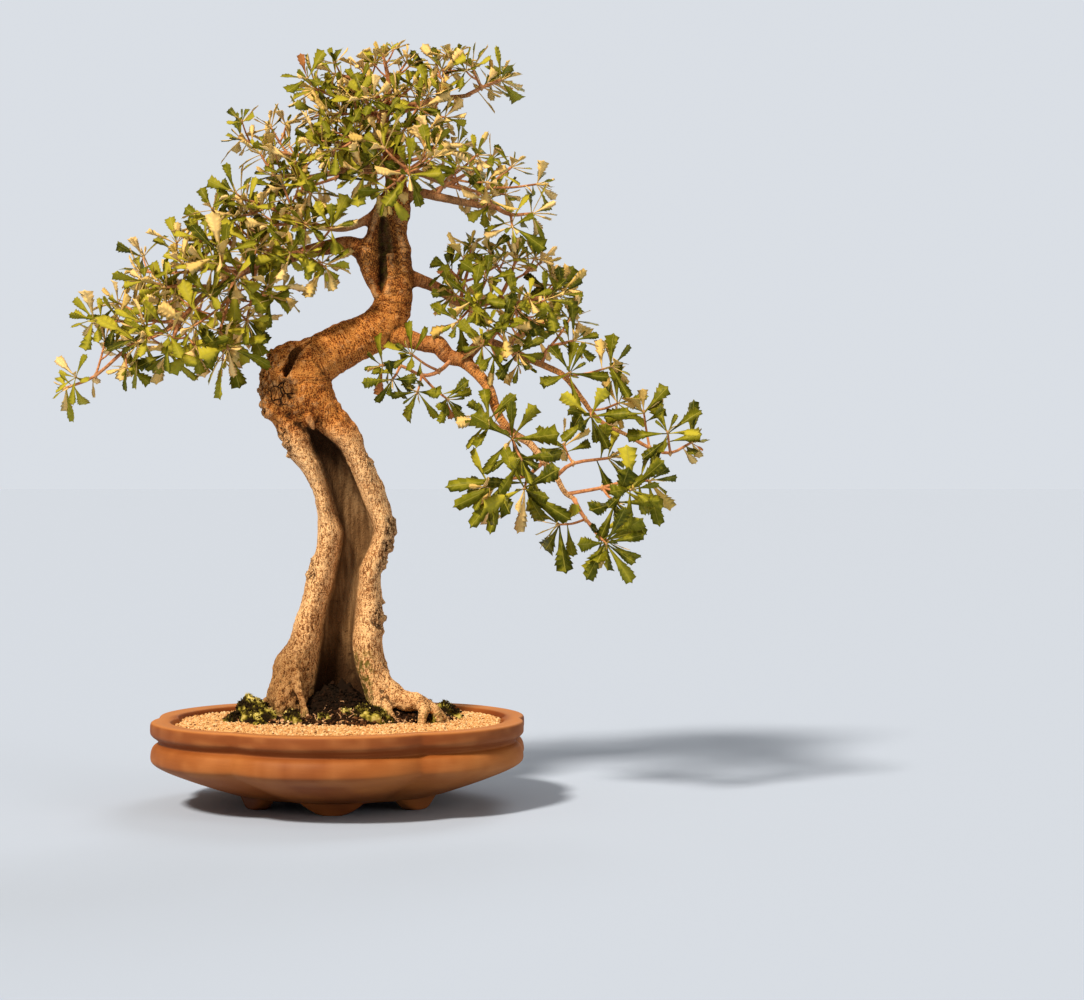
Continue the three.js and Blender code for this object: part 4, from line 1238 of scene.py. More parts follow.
# Level slices of the lower trunk: [z, left edge, right edge, left lip, right lip, middle, front, back, open,
# floor]. The lips stand either side of the hollow that runs up the front, open is 0 where the trunk is whole,
# and floor is how far behind the middle the hollow's dead wood lies.
LOWER_TRUNK = [
    [76, -74, 58, -28, 28, 0, 38, 40, 1, -10], [100, -80, 61, -31, 31, 0, 41, 42, 1, 13],
    [122, -82, 63, -33, 31, 0, 41, 42, 1, 15], [142, -80, 59, -29, 25, 0, 39, 40, 1, 16],
    [164, -77, 54, -25, 18, 1, 36, 37, 1, 16], [175, -72, 52, -24, 16, 1, 35, 36, 1, 16],
    [188, -57, 50, -22, 15, 2, 34, 35, 1, 15], [206, -53, 50, -21, 17, 2, 32, 34, 1, 14],
    [230, -47, 50, -16, 19, 3, 31, 33, 1, 14], [252, -41, 48, -9, 21, 4, 31, 33, 1, 14],
    [274, -35, 51, -5, 23, 5, 30, 32, 1, 14], [298, -29, 60, 0, 35, 6, 30, 32, 1, 13],
    [318, -26, 64, 2, 40, 6, 30, 32, 1, 13], [338, -26, 62, -6, 34, 5, 30, 32, 1, 13],
    [358, -31, 55, -10, 25, 4, 30, 32, 1, 13], [376, -38, 47, -15, 19, 3, 30, 32, 1, 12],
    [394, -49, 40, -21, 11, 2, 31, 33, 1, 11], [413, -62, 30, -30, 0, 0, 31, 34, 1, 9],
    [430, -68, 23, -36, -18, -1, 32, 35, 0.9, 4], [446, -80, 14, -42, -32, -2, 33, 36, 0.35, -6],
    [462, -89, 1, -44, -38, -3, 34, 37, 0, 0], [480, -93, -8, -50, -50, -4, 34, 38, 0, 0],
    [498, -90, -11, -50, -50, -4, 34, 38, 0, 0], [514, -84, -14, -50, -50, -4, 32, 36, 0, 0],
    [527, -78, -22, -50, -50, -4, 26, 29, 0, 0], [538, -62, -38, -50, -50, -4, 11, 13, 0, 0],
]
# The upright top of the trunk, with a narrow hollow beside its left strip
UPPER_TRUNK = [
    [566, 42, 82, 60, 60, 0, 19, 21, 0, 0], [582, 43, 84, 49, 53, 0, 20, 22, 0.5, -8],
    [593, 38, 86, 47, 54, 0, 21, 23, 0.9, -5], [606, 31, 86, 46, 59, 0, 21, 24, 1, -1],
    [620, 24, 84, 46, 62, 0, 21, 24, 1, 2], [636, 19, 83, 46, 65, 0, 21, 24, 1, 3],
    [650, 22, 81, 46, 65, 0, 20, 23, 1, 3], [664, 32, 79, 46, 62, 0, 19, 22, 1, 2],
    [680, 37, 82, 47, 59, 0, 19, 21, 1, 0], [694, 40, 84, 49, 57, 0, 19, 20, 0.7, -5],
    [708, 46, 80, 52, 56, 1, 17, 18, 0, -4],
]
UPPER_SLOPE = -11.0
LEANING_TRUNK = [
    [-74, -4, 478, 27], [-54, -4, 499, 31], [-33, -3, 513, 29.5], [-9, -2, 526, 28], [18, -1, 539, 26],
    [42, 0, 552, 25.5], [56, 0, 567, 23.5], [62, 0, 588, 21],
]
ROOTS = [
    [[36, -14, 164, 14], [54, -22, 136, 14], [76, -28, 122, 12.5], [92, -33, 121, 10.5], [100, -38, 117, 8]],
    [[97, -37, 119, 8], [100, -46, 112, 6.5], [98, -50, 100, 5.5], [96, -51, 86, 5.5]],
    [[100, -36, 119, 7.5], [110, -39, 114, 6], [117, -41, 104, 5], [121, -42, 88, 5]],
    [[102, -30, 118, 7.5], [114, -28, 110, 6], [126, -27, 96, 5], [131, -26, 86, 5]],
    [[-50, -30, 162, 6.5], [-46, -40, 142, 5.5], [-39, -46, 120, 5.2], [-35, -47, 88, 5]],
    [[-66, -22, 140, 9], [-66, -37, 118, 6.5], [-62, -43, 88, 5]],
    [[-60, 6, 130, 14], [-90, 12, 107, 10], [-106, 16, 84, 7]],
    [[-20, 26, 150, 14], [-34, 50, 118, 11], [-40, 60, 84, 8]],
    [[28, 24, 150, 15], [52, 46, 118, 12], [64, 54, 84, 8]],
    [[40, -24, 130, 8], [58, -40, 112, 6], [70, -46, 88, 5]],
]
# The slot on the bend, where a limb was lost long ago, and the small knot hole beside it
BEND_SLOT = [
    [-22, -30, 545, 2.4], [-37, -32, 534, 3.2], [-47, -33, 526, 4], [-53, -33, 516, 4.4],
    [-57, -34, 505, 4.4], [-60, -36, 494, 3.4],
]
SLOT_DEPTHS = (5, 0, -5, -10)
# Shallow furrows in the old wood of the bend
GROOVES = [
    [[-56, -38, 485, 1.8], [-42, -38, 488, 2.3], [-26, -32, 488, 2.3], [-13, -20, 490, 1.8]],
    [[-61, -33, 527, 1.8], [-70, -35.5, 512, 2.4], [-74, -33, 498, 2.2], [-76, -31, 487, 1.6]],
    [[-79, -29, 506, 1.8], [-84, -24, 492, 2.2], [-86, -24, 477, 1.8]],
    [[-82, -24, 462, 1.6], [-76, -29, 446, 2.2], [-66, -32, 432, 2.0], [-60, -31, 418, 1.6]],
]
KNOT_HOLE = [[-8, -40, 543, 4.6], [-8, -24, 543, 3.4]]
# Healed scars, lips and ridges that stand out of the wood
BURRS = [
    [[-45, -25, 480, 4.5], [-41, -27, 467, 6], [-35, -28, 454, 6], [-30, -28, 442, 4.6], [-27, -26, 433, 3]],
    [[-72, -22, 496, 10], [-69, -25, 508, 10], [-62, -24, 520, 9], [-50, -22, 529, 7.5]],
    [[-78, -20, 470, 10], [-74, -22, 450, 10]],
    [[-58, -28, 470, 9], [-50, -30, 462, 8]],
    [[60, -20, 640, 6], [62, -20, 610, 6], [58, -18, 592, 5]],
]
LIMBS = {
    "left_main": [
        [44, 0, 632, 11], [17, -2, 649, 11], [-8, -6, 648, 9.4], [-31, -9, 643, 8.2], [-55, -10, 636, 7.2],
        [-80, -12, 630, 6.4], [-107, -14, 620, 5.6], [-134, -16, 604, 5], [-160, -20, 587, 4.4],
        [-181, -24, 562, 3.8], [-207, -26, 546, 3.2],
    ],
    "leader": [
        [63, 0, 698, 16], [66, 2, 727, 12.5], [60, 4, 756, 10.5], [50, 6, 785, 8.5], [54, 4, 814, 6.5],
    ],
    "low_left": [[50, 0, 690, 8], [28, -12, 676, 5.6], [9, -20, 668, 4.8], [-8, -26, 667, 4]],
    "apex_left": [[62, 3, 738, 7], [38, -6, 738, 5.2], [8, -12, 735, 4.5], [-29, -16, 728, 3.7]],
    "apex_mid_left": [[56, 5, 768, 6], [28, 8, 764, 4.6], [-5, 10, 757, 3.9], [-41, 12, 756, 3.2]],
    "apex_right": [[54, 4, 810, 6], [87, 0, 812, 5.2], [113, -4, 818, 4.3], [148, -6, 823, 3.4]],
    "right_up": [
        [70, 0, 706, 9], [95, -6, 710, 6.6], [113, -8, 706, 5.7], [150, -10, 698, 5], [182, -12, 693, 4.2],
    ],
    "right_back": [[62, 4, 742, 6], [90, 30, 738, 4.8], [120, 52, 728, 3.9]],
    "back": [[62, 3, 735, 7], [64, 36, 746, 5.6], [58, 70, 752, 4.4]],
    "front": [[64, 2, 742, 6], [74, -28, 740, 5.2], [80, -52, 736, 4]],
    "mid_right": [
        [76, 3, 615, 9.5], [103, 8, 606, 7.8], [122, 12, 596, 7.2], [140, 16, 585, 6.6], [160, 20, 583, 5.6],
        [185, 22, 588, 4.6], [210, 22, 584, 3.8],
    ],
    "low_right": [
        [58, -4, 548, 13.5], [83, -10, 540, 10.8], [103, -14, 534, 10], [115, -17, 534, 11],
        [127, -20, 520, 9.6], [143, -24, 516, 9],
    ],
    "cascade": [
        [143, -24, 516, 8], [155, -22, 526, 6.8], [168, -18, 537, 6], [190, -14, 532, 5.2],
        [219, -12, 518, 4.8], [246, -14, 506, 4.4], [262, -16, 497, 4.1], [280, -20, 474, 3.8],
        [302, -24, 446, 3.5], [336, -28, 428, 3],
    ],
    "drop": [
        [143, -24, 516, 8.4], [153, -28, 508, 7.8], [165, -32, 496, 7.2], [175, -36, 482, 6.6],
        [182, -38, 462, 6.1], [189, -40, 446, 5.7], [204, -42, 430, 5.3], [223, -42, 418, 4.9],
        [238, -42, 398, 4.5], [252, -42, 381, 4.1], [262, -42, 363, 3.8], [272, -42, 356, 3.4],
    ],
}
# The z, x and half height of ragged flakes of old bark on the trunk's outer edges
FLAKES = [
    (417, -64, 20), (470, -88, 22), (512, -84, 20), (275, -36, 14), (402, 41, 9), (322, 64, 12),
    (275, 54, 12), (217, 50, 20), (300, 60, 8),
]
CRACKS = (-64, 477, 17)


@dataclass
class Spines:
    """The middle lines of trunk, roots and limbs, to which the grain of the wood keeps."""

    lines: list[Array]

    def nearest(self, points: Array) -> tuple[Array, Array, Array]:
        """Finds for each point the line whose wood it lies on.

        Args:
            points: places in millimetres.

        Returns:
            How far along its line each point is, its place seen from the line, and the wood's radius there.
        """
        best = np.full(len(points), 1e9)
        along = np.zeros(len(points))
        offset = np.zeros((len(points), 3))
        radius = np.zeros(len(points))
        for number, line in enumerate(self.lines):
            travelled = 53.0 * number
            for start, end in zip(line[:-1], line[1:]):
                step = end[:3] - start[:3]
                length = float(np.linalg.norm(step))
                share = np.clip((points - start[:3]) @ step / length**2, 0, 1)
                seen = points - start[:3] - share[:, None] * step
                thick = start[3] + (end[3] - start[3]) * share
                gap = np.linalg.norm(seen, axis=1) - thick
                closer = gap < best
                best = np.where(closer, gap, best)
                along = np.where(closer, travelled + share * length, along)
                offset = np.where(closer[:, None], seen, offset)
                radius = np.where(closer, thick, radius)
                travelled += length
        return along, offset, radius


@dataclass
class Trunk:
    """All the wood that grew as one piece: hollow trunk, roots and limbs."""

    coarse: float = 2.6
    fine: float = 2.05
    back_steps: int = 8
    strip_turns: tuple = (36, 72, 108, 150)

    def ring(self, row: Sequence[float], slope: float) -> Array:
        """One slice: round the back from right to left, then the left strip, the hollow and the right strip.

        Args:
            row: a row of the slice tables.
            slope: how far the hollow's floor comes forward from left to right, below 0 towards the front.

        Returns:
            The slice's points.
        """
        z, left, right, lip_left, lip_right, middle, front, back, opened, floor = row
        centre, half, hollow = (left + right) / 2, (right - left) / 2, lip_right - lip_left
        points = []
        for k in range(self.back_steps + 1):
            a = math.pi * k / self.back_steps
            points.append((centre + half * math.cos(a), middle + back * math.sin(a)))

        def strip(start: float, end: float, turns: Sequence[float]) -> list[tuple[float, float]]:
            """The rounded front of one rope of live wood."""
            return [
                (start + (end - start) * (0.5 - 0.5 * math.cos(turn)), middle - front * math.sin(turn))
                for turn in map(math.radians, turns)
            ]

        opening = [
            *strip(left, lip_left, self.strip_turns),
            (lip_left + 0.06 * hollow, middle + 0.6 * floor),
            (lip_left + 0.32 * hollow, middle + floor + 0.2 * slope),
            (lip_right - 0.32 * hollow, middle + floor + 0.8 * slope),
            (lip_right - 0.06 * hollow, middle + 0.6 * floor + slope),
            *strip(lip_right, right, [180 - turn for turn in reversed(self.strip_turns)]),
        ]
        for k, (x, y) in enumerate(opening):
            a = math.pi * (1 + (k + 1) / (len(opening) + 1))
            whole = (centre + half * math.cos(a), middle + front * math.sin(a))
            points.append((whole[0] + (x - whole[0]) * opened, whole[1] + (y - whole[1]) * opened))
        placed = []
        for k, (x, y) in enumerate(points):
            lump = 0.035 * math.sin(z * 0.09 + k * 1.9) + 0.02 * math.sin(z * 0.21 + k * 3.1)
            swell = 1 + lump if k <= self.back_steps else 1.0
            placed.append((centre + (x - centre) * (0.5 + 0.5 * swell), middle + (y - middle) * swell, z))
        return np.array(placed)

    def length(self, name: str, slices: Sequence, slope: float = 0.0) -> Piece:
        """One upright length of trunk, smooth between its slices."""
        rows = through(slices, 4)
        rings = np.array([through(self.ring(row, slope), 4, closed=True) for row in rows])
        return lofted(name, rings)

    def tapered(self, line: Sequence) -> Array:
        """A limb's line with a short rounded end, where its spray's stem grows out."""
        points = np.array(line, float)
        ahead = points[-1, :3] - points[-2, :3]
        ahead = ahead / np.linalg.norm(ahead)
        tip = np.append(points[-1, :3] + 7 * ahead, 0.62 * points[-1, 3])
        return np.vstack([points, tip])

    def spines(self) -> Spines:
        """The middle lines of all the wood."""

        def middles(slices: Sequence) -> Array:
            """The middle and half width of each slice."""
            z, left, right, _, _, middle = np.array(slices, float).T[:6]
            return np.stack([(left + right) / 2, middle, z, (right - left) / 2], axis=1)

        round_wood = [LEANING_TRUNK, *ROOTS, *LIMBS.values()]
        lines = [middles(LOWER_TRUNK), middles(UPPER_TRUNK), *(np.array(line, float) for line in round_wood)]
        return Spines(lines)

    def raw_wood(self) -> Piece:
        """The wood before its bark is carved: all lengths grown together, with the slot and the knot hole."""
        round_wood = [LEANING_TRUNK, *ROOTS, *BURRS, *(self.tapered(line) for line in LIMBS.values())]
        parts = [
            self.length("lower", LOWER_TRUNK),
            self.length("upper", UPPER_TRUNK, UPPER_SLOPE),
            tubes("round_wood", [through(line, 4) for line in round_wood], 4),
        ]
        wood = joined("tree_wood", parts)
        finish_with(wood, "REMESH", mode="VOXEL", voxel_size=self.coarse * MM)
        slots = [np.array(BEND_SLOT, float) - (0, depth, 0, 0) for depth in SLOT_DEPTHS]
        for cut in (*slots, KNOT_HOLE, *GROOVES):
            combine(wood, tubes("cutter", [through(cut, 3)], 3), "DIFFERENCE")
        finish_with(wood, "REMESH", mode="VOXEL", voxel_size=self.fine * MM)
        finish_with(wood, "SMOOTH", factor=0.5, iterations=3)
        return wood

    def hollow_share(self, points: Array) -> Array:
        """How surely a point lies on the dead wood inside a hollow, from 0 to 1."""
        x, y, z = points.T
        share = np.zeros(len(points))
        for slices in (LOWER_TRUNK, UPPER_TRUNK):
            rows = np.array(slices, float)
            at = [np.interp(z, rows[:, 0], column) for column in rows.T]
            _, _, _, lip_left, lip_right, middle, front, _, opened, floor = at
            inside = rise(x - lip_left, -1.5, 2.5) * rise(lip_right - x, -1.5, 2.5)
            deep = rise(y - middle, -0.62 * front.mean(), -0.34 * front.mean())
            ahead = rise(y - middle - floor, 8.0, 4.0)
            level = rise(z, rows[0, 0], rows[0, 0] + 6) * rise(z, rows[-1, 0], rows[-1, 0] - 6)
            share = np.maximum(share, inside * deep * ahead * level * rise(opened, 0.3, 0.8))
        return share

    def carve(self, wood: Piece) -> None:
        """Carves the bark, grain, cracks and flakes into the wood and paints what its finish reads."""
        mesh = wood.data
        points = from_metres(read_points(mesh))
        normals = fetched(mesh.vertex_normals, "vector", 3)
        along, offset, radius = self.spines().nearest(points)
        hollow = self.hollow_share(points)
        x, y, z = points.T
        stout = rise(radius, 4.0, 20.0)
        run = np.outer(along, (0.57, 1.13, 0.79))
        fibre = noise(offset / 6.0 + run / 110.0, 1.0, 11)
        wrinkle = noise(offset / 18.0 + run / 8.0, 1.0, 13) + 0.6 * noise(offset / 12.0 + run / 5.5, 1.0, 14)
        furrow = noise(offset / 8.0 + run / 70.0, 1.0, 15)
        knee = rise(z, 415.0, 455.0) * rise(x, 60.0, 20.0) * rise(z, 580.0, 545.0)
        crossed = np.maximum(rise(x, -62.0, -30.0) * rise(z, 470.0, 500.0), rise(z, 545.0, 570.0))
        plate = cells(points + 2.5 * noise(points, 8.0, 17)[:, None], 12.0, 61)[1]
        where_x, where_z, reach = CRACKS
        cracked = rise(np.hypot(x - where_x, z - where_z), 1.15 * reach, 0.7 * reach) * rise(y, 10.0, -8.0)
        ragged = np.zeros(len(points))
        for height, edge, half in FLAKES:
            near = rise(np.abs(z - height) / half, 1.2, 0.7) * rise(np.abs(x - edge), 13.0, 4.0)
            ragged = np.maximum(ragged, near)
        chips, chip = cells(points * (1.0, 1.0, 0.55), 5.5, 63)
        base = rise(z, 190.0, 130.0)
        flake = ragged * (6.4 * (chip - 0.3) * rise(chips, 0.0, 0.12) - 0.8 + 1.2 * noise(points, 4.5, 19))
        grain = 0.50 * noise(points, 4.8, 20) + 0.34 * noise(points, 3.2, 24)
        live = (
            stout * (1.4 * noise(points, 27.0, 21) + 0.8 * noise(points, 12.0, 22))
            + (0.25 + 0.75 * stout) * grain * (1 + 1.4 * base)
            + stout * (1 - crossed) * (0.5 * furrow + 0.1 * fibre)
            + stout * base * (1.3 * noise(points, 7.0, 26) + 1.5 * noise(points, 14.0, 27))
            + (0.1 + 0.8 * crossed) * (0.3 + 0.7 * stout) * 0.65 * wrinkle
            + knee * (1 - 0.8 * crossed) * (1.8 * noise(points, 8.0, 23) + 0.6 * (plate - 0.5))
        )
        dead = 0.5 * fibre + 0.9 * noise(points, 20.0, 25)
        height = live * (1 - hollow) + dead * hollow + flake
        write_points(mesh, to_metres(points + normals * height[:, None]))
        # How deep each point lies in a dip, which the bark darkens as painted shade and, on ridges, lightens
        # as a painted highlight
        paint(mesh, "dip", hollowness(mesh, 4))
        paint(mesh, "hollow", hollow)
        paint(mesh, "along", along * MM)
        paint(mesh, "crossed", np.maximum(crossed, rise(radius, 14.0, 8.0)))
        paint(mesh, "cracked", cracked)
        paint(mesh, "stained", rise(z, 215.0, 160.0) * (0.15 + 0.8 * rise(x, -16.0, -45.0)))
        paint(mesh, "aged", rise(z, 400.0, 452.0) * (1 - 0.1 * cracked))
        # Painted shade in the hollows, darkest at the foot of the lower hollow, under its top and in the
        # narrow cleft of the upper one
        foot = np.maximum(rise(z, 205.0, 150.0) * rise(x, 30.0, 8.0), rise(z, 165.0, 138.0))
        slit_shade = 0.8 * rise(x, 54.0, 46.0) * rise(z, 560.0, 600.0)
        dark = np.maximum(foot, rise(z, 330.0, 415.0) * rise(z, 560.0, 520.0))
        paint(mesh, "painted_hollow_shade", 0.92 * hollow * np.maximum(dark, slit_shade))
        paint(mesh, "slim", rise(radius, 14.0, 6.0) * rise(z, 500.0, 520.0))
        paint(mesh, "old", np.clip(ragged + rise(z, 560.0, 640.0) * rise(radius, 8.0, 14.0), 0, 1))
        inner_right = rise(x, 8.0, 20.0) * rise(z, 190.0, 165.0) * rise(y, 6.0, -4.0) * rise(x, 48.0, 34.0)
        green = np.maximum(0.9 * inner_right, 0.55 * hollow * rise(z, 590.0, 610.0))
        paint(mesh, "damp", np.clip(green + 0.6 * rise(z, 122.0, 106.0), 0, 1))

    def build(self) -> None:
        """The whole tree of wood, carved and dressed."""
        wood = self.raw_wood()
        self.carve(wood)
        smooth_shade(wood.data)
        dress(wood, Bark().material())
        settle(wood, "bark", "trunk")


# Foliage


@dataclass(frozen=True)
class Plan:
    """A leafy spray as planned: the limb it grows on, how many of the limb's points along, its leaf length.

    Its stem runs from the limb through its own points to a whorl of leaves. A side twig is [stem point it
    leaves, x, y, z], where point 0 is on the limb. It ends in a whorl too, which has main leaves on twigs and
    none on more_twigs.
    """

    limb: str
    at: float
    length: float
    stem: list
    twigs: list
    more_twigs: list | tuple = ()


# The sprays of each part of the crown, numbered from 1
SPRAYS = {
    "left": [
        Plan("left_main", 10, 34, [[-241, -28, 530], [-279, -30, 497], [-313, -30, 483]],
            [[2, -272, -6, 538]]),
        Plan("left_main", 9.1, 34, [[-215, -6, 562], [-258, 2, 583]], [[1, -282, -24, 562]]),
        Plan("left_main", 6.2, 32, [[-150, 12, 624], [-195, 30, 620], [-236, 34, 622]],
            [[2, -190, 4, 652]], [[1, -160, -22, 656]]),
        Plan("left_main", 7.2, 32, [[-160, -40, 600], [-194, -50, 598]],
            [[1, -222, -30, 606]], [[1, -176, -44, 624]]),
        Plan("left_main", 8.4, 42, [[-180, -44, 556], [-192, -52, 522]],
            [[1, -226, -52, 534]], [[1, -160, -60, 530]]),
        Plan("left_main", 5.2, 42, [[-100, -46, 620], [-113, -68, 606]],
            [[1, -146, -68, 624]], [[1, -90, -56, 640]]),
        Plan("left_main", 6.5, 45, [[-124, -38, 585], [-132, -56, 548]],
            [[1, -162, -62, 552]], [[2, -122, -68, 528], [1, -102, -52, 560]]),
        Plan("left_main", 5.6, 30, [[-98, -20, 596], [-104, -30, 562]], [[1, -76, -42, 588]]),
        Plan("low_left", 3, 36, [[-45, -34, 676], [-80, -28, 692], [-112, -20, 702]],
            [[1, -72, -54, 668]], [[1, -60, -44, 712], [2, -112, -36, 680]]),
        Plan("left_main", 4.1, 32, [[-90, 20, 648], [-130, 26, 655], [-163, 16, 656]],
            [[1, -122, 0, 676]], [[1, -96, -18, 684], [2, -146, -10, 690]]),
        Plan("left_main", 3.8, 32, [[-70, 42, 642], [-100, 74, 640], [-132, 92, 632]], [[1, -76, 98, 656]]),
        Plan("left_main", 7.6, 32, [[-160, 22, 600], [-190, 52, 592], [-216, 66, 586]],
            [[1, -176, 70, 566]]),
        Plan("left_main", 3.1, 34, [[-38, -38, 640], [-50, -64, 636]],
            [[1, -14, -46, 622]], [[1, -34, -60, 668], [0, -6, -50, 664]]),
    ],
    "apex": [
        Plan("apex_mid_left", 3, 25, [[-60, 12, 757], [-86, 12, 765], [-115, 10, 775]],
            [[1, -82, 24, 790]]),
        Plan("apex_left", 3, 28, [[-50, -20, 726], [-72, -25, 728]],
            [[1, -46, -50, 740]], [[1, -30, -46, 706], [2, -88, -30, 752]]),
        Plan("leader", 3.6, 30, [[30, 2, 808], [0, -4, 820], [-26, -10, 830]],
            [[1, -14, 22, 804]], [[1, 2, -34, 790], [2, -20, -24, 802]]),
        Plan("leader", 3.7, 26, [[40, -2, 830], [18, -6, 842], [-4, -6, 848]],
            [[1, 26, 22, 856]], [[1, 8, -26, 826]]),
        Plan("leader", 4, 22, [[58, -2, 838], [52, -8, 868]], [[1, 78, -2, 862]], [[0, 84, -28, 828]]),
        Plan("apex_right", 2, 27, [[124, -10, 842], [134, -10, 862]], [[1, 112, 16, 852]]),
        Plan("apex_right", 3, 29, [[166, -8, 832], [188, -6, 841]], [[1, 156, -22, 852]]),
        Plan("apex_right", 1, 27, [[92, -26, 806], [96, -50, 802]],
            [[1, 124, -34, 794]], [[1, 78, -46, 778]]),
        Plan("leader", 3.2, 27, [[44, -22, 800], [34, -52, 812]],
            [[1, 4, -42, 798]], [[1, 56, -50, 782], [1, 14, -44, 776]]),
        Plan("leader", 2.3, 28, [[42, -30, 766], [24, -58, 766]],
            [[1, -22, -46, 766]], [[1, 46, -56, 744], [2, -4, -58, 752]]),
        Plan("front", 2, 32, [[84, -70, 730], [86, -88, 722]],
            [[1, 58, -84, 752], [1, 114, -66, 756]], [[1, 60, -72, 708], [1, 34, -70, 726]]),
        Plan("back", 2, 28, [[58, 92, 760], [58, 116, 768]], [[1, 16, 98, 778]]),
        Plan("apex_left", 1, 28, [[20, 36, 742], [-10, 68, 736], [-36, 86, 730]], [[2, 0, 86, 760]]),
        Plan("leader", 3.4, 27, [[52, 38, 808], [46, 66, 820]], [[1, 86, 54, 816]]),
        Plan("right_back", 2, 28, [[138, 64, 724], [162, 76, 720]], [[1, 130, 86, 748]]),
    ],
    "right": [
        Plan("right_up", 4, 36, [[200, -16, 684], [224, -10, 686]],
            [[1, 202, -40, 668]], [[0, 176, -34, 700]]),
        Plan("right_up", 3, 28, [[172, 6, 718], [200, 10, 742]], [[1, 230, 8, 722]]),
        Plan("right_up", 2, 28, [[128, -22, 726], [140, -44, 736]],
            [[1, 172, -46, 718]], [[1, 160, -48, 748]]),
        Plan("leader", 1.6, 27, [[95, 2, 752], [138, 0, 766]], [[1, 112, -26, 782]]),
        Plan("right_up", 1.4, 28, [[122, 22, 722], [150, 30, 738], [176, 34, 754]], [[1, 192, 44, 714]]),
    ],
    "mid": [
        Plan("mid_right", 3, 30, [[146, 0, 608], [154, -12, 632]],
            [[1, 180, 0, 624]], [[1, 128, -22, 622]]),
        Plan("mid_right", 4, 34, [[160, -12, 588], [158, -46, 584]],
            [[1, 140, -36, 560]], [[1, 172, -44, 606], [0, 136, -24, 590]]),
        Plan("mid_right", 5, 34, [[196, 12, 608], [206, -2, 634]],
            [[1, 232, 22, 630]], [[1, 176, -14, 640]]),
        Plan("mid_right", 6, 36, [[232, 12, 590], [258, 0, 594]], [[1, 252, 36, 606]]),
        Plan("mid_right", 5.5, 34, [[206, -12, 574], [206, -44, 574]],
            [[1, 240, -38, 584]], [[1, 226, -34, 560]]),
        Plan("mid_right", 4.2, 32, [[166, 50, 590], [174, 82, 592]], [[1, 208, 72, 584]]),
        Plan("cascade", 2.3, 36, [[184, -36, 548], [190, -56, 552]],
            [[1, 208, -50, 522]], [[1, 168, -52, 532]]),
        Plan("cascade", 3.2, 34, [[208, 12, 546], [228, 44, 550]], [[1, 240, 8, 562]]),
    ],
    "low": [
        Plan("cascade", 4.6, 36, [[244, -8, 530], [272, -14, 538]], [[1, 268, 10, 564]]),
        Plan("cascade", 6, 38, [[268, -42, 500]], [[0, 316, -14, 508]]),
        Plan("cascade", 7.6, 38, [[292, -50, 450]], [[0, 324, 0, 466]]),
        Plan("cascade", 9, 40, [[360, -30, 414], [384, -32, 408], [408, -32, 420]],
            [[1, 354, -20, 454], [2, 380, -54, 430]]),
        Plan("drop", 6, 44, [[202, -68, 424]], [[0, 176, -58, 446]], [[1, 212, -84, 402]]),
        Plan("drop", 8, 50, [[219, -48, 382], [198, -52, 378], [176, -54, 370]], [[1, 216, -74, 368]]),
        Plan("drop", 11, 48, [[286, -48, 332], [310, -52, 308]],
            [[1, 256, -56, 326]], [[1, 308, -82, 306]]),
        Plan("drop", 10.3, 46, [[305, -40, 368], [334, -42, 376], [358, -44, 376]],
            [[1, 320, -66, 352]], [[1, 336, -72, 366]]),
        Plan("drop", 9, 42, [[272, -26, 396], [312, -20, 402]], [[1, 262, -6, 416]]),
        Plan("low_right", 4.4, 32, [[118, -42, 502], [98, -48, 497], [74, -54, 508], [54, -56, 508]],
            [[2, 94, -60, 478]], [[3, 66, -70, 492], [2, 127, -64, 470], [1, 88, -64, 520]]),
    ],
}
END_WHORL = (0, 1, 2, 4)
SIDE_WHORL = (0, 1, 3)
WHORL_PLACES = 5


class Finish(Enum):
    """The finishes of a leafy spray, in the order of its material slots."""

    LEAF_TOP = 0
    LEAF_UNDER = 1
    TWIG = 2
    BUD = 3


@dataclass(frozen=True)
class Habit:
    """How a part of the crown grows: its shoots, the leaves inside and behind a whorl, how steeply shoots
    rise, the size of the leaves, their tone, how many show their pale side, and where they turn."""

    shoots: int
    inner: int
    behind: int
    upright: float
    growth: float
    tone: float
    pale_side: float
    light: tuple


# Leaves turn their faces to the sky and to the front, from where the tree is lit
HABITS = {
    "left": Habit(2, 3, 3, upright=0.35, growth=1.25, tone=0.61, pale_side=0.17, light=(-0.2, -0.4, 0.8)),
    "apex": Habit(3, 3, 2, upright=0.45, growth=1.4, tone=0.54, pale_side=0.2, light=(-0.2, -0.35, 0.8)),
    "right": Habit(0, 3, 2, upright=0.35, growth=1.13, tone=0.57, pale_side=0.24, light=(-0.2, -0.4, 0.8)),
    "mid": Habit(1, 3, 1, upright=0.25, growth=1.14, tone=0.40, pale_side=0.12, light=(-0.1, -0.7, 0.6)),
    "low": Habit(0, 3, 2, upright=0.1, growth=1.2, tone=0.37, pale_side=0.03, light=(-0.15, -0.9, 0.4)),
}

# Single leaves that catch the eye: (x, y, z, its way along x, its way along z, length, roll, 1 if withered)
SINGLE_LEAVES = {
    "left_01": [(-241, -28, 530, -0.2, -1, 42, 3.3, 0), (-241, -28, 530, 0.25, -1, 34, 0.3, 0)],
    "left_13": [(-14, -47, 623, -0.55, -1, 42, 3.0, 0), (-12, -47, 624, 0.3, -1, 34, 3.2, 0)],
    "low_10": [(127, -64, 469, 0.25, -1, 24, 0.2, 1)],
    "low_05": [(176, -58, 446, -0.9, -0.1, 40, 3.1, 0)],
    "low_06": [
        (198, -52, 378, -1, -0.1, 74, 0.1, 0), (198, -52, 378, -1, -0.52, 72, -0.3, 0),
        (196, -52, 377, -0.82, -1, 70, 0.2, 0), (192, -52, 376, -0.3, -1, 64, 0.4, 0),
    ],
}


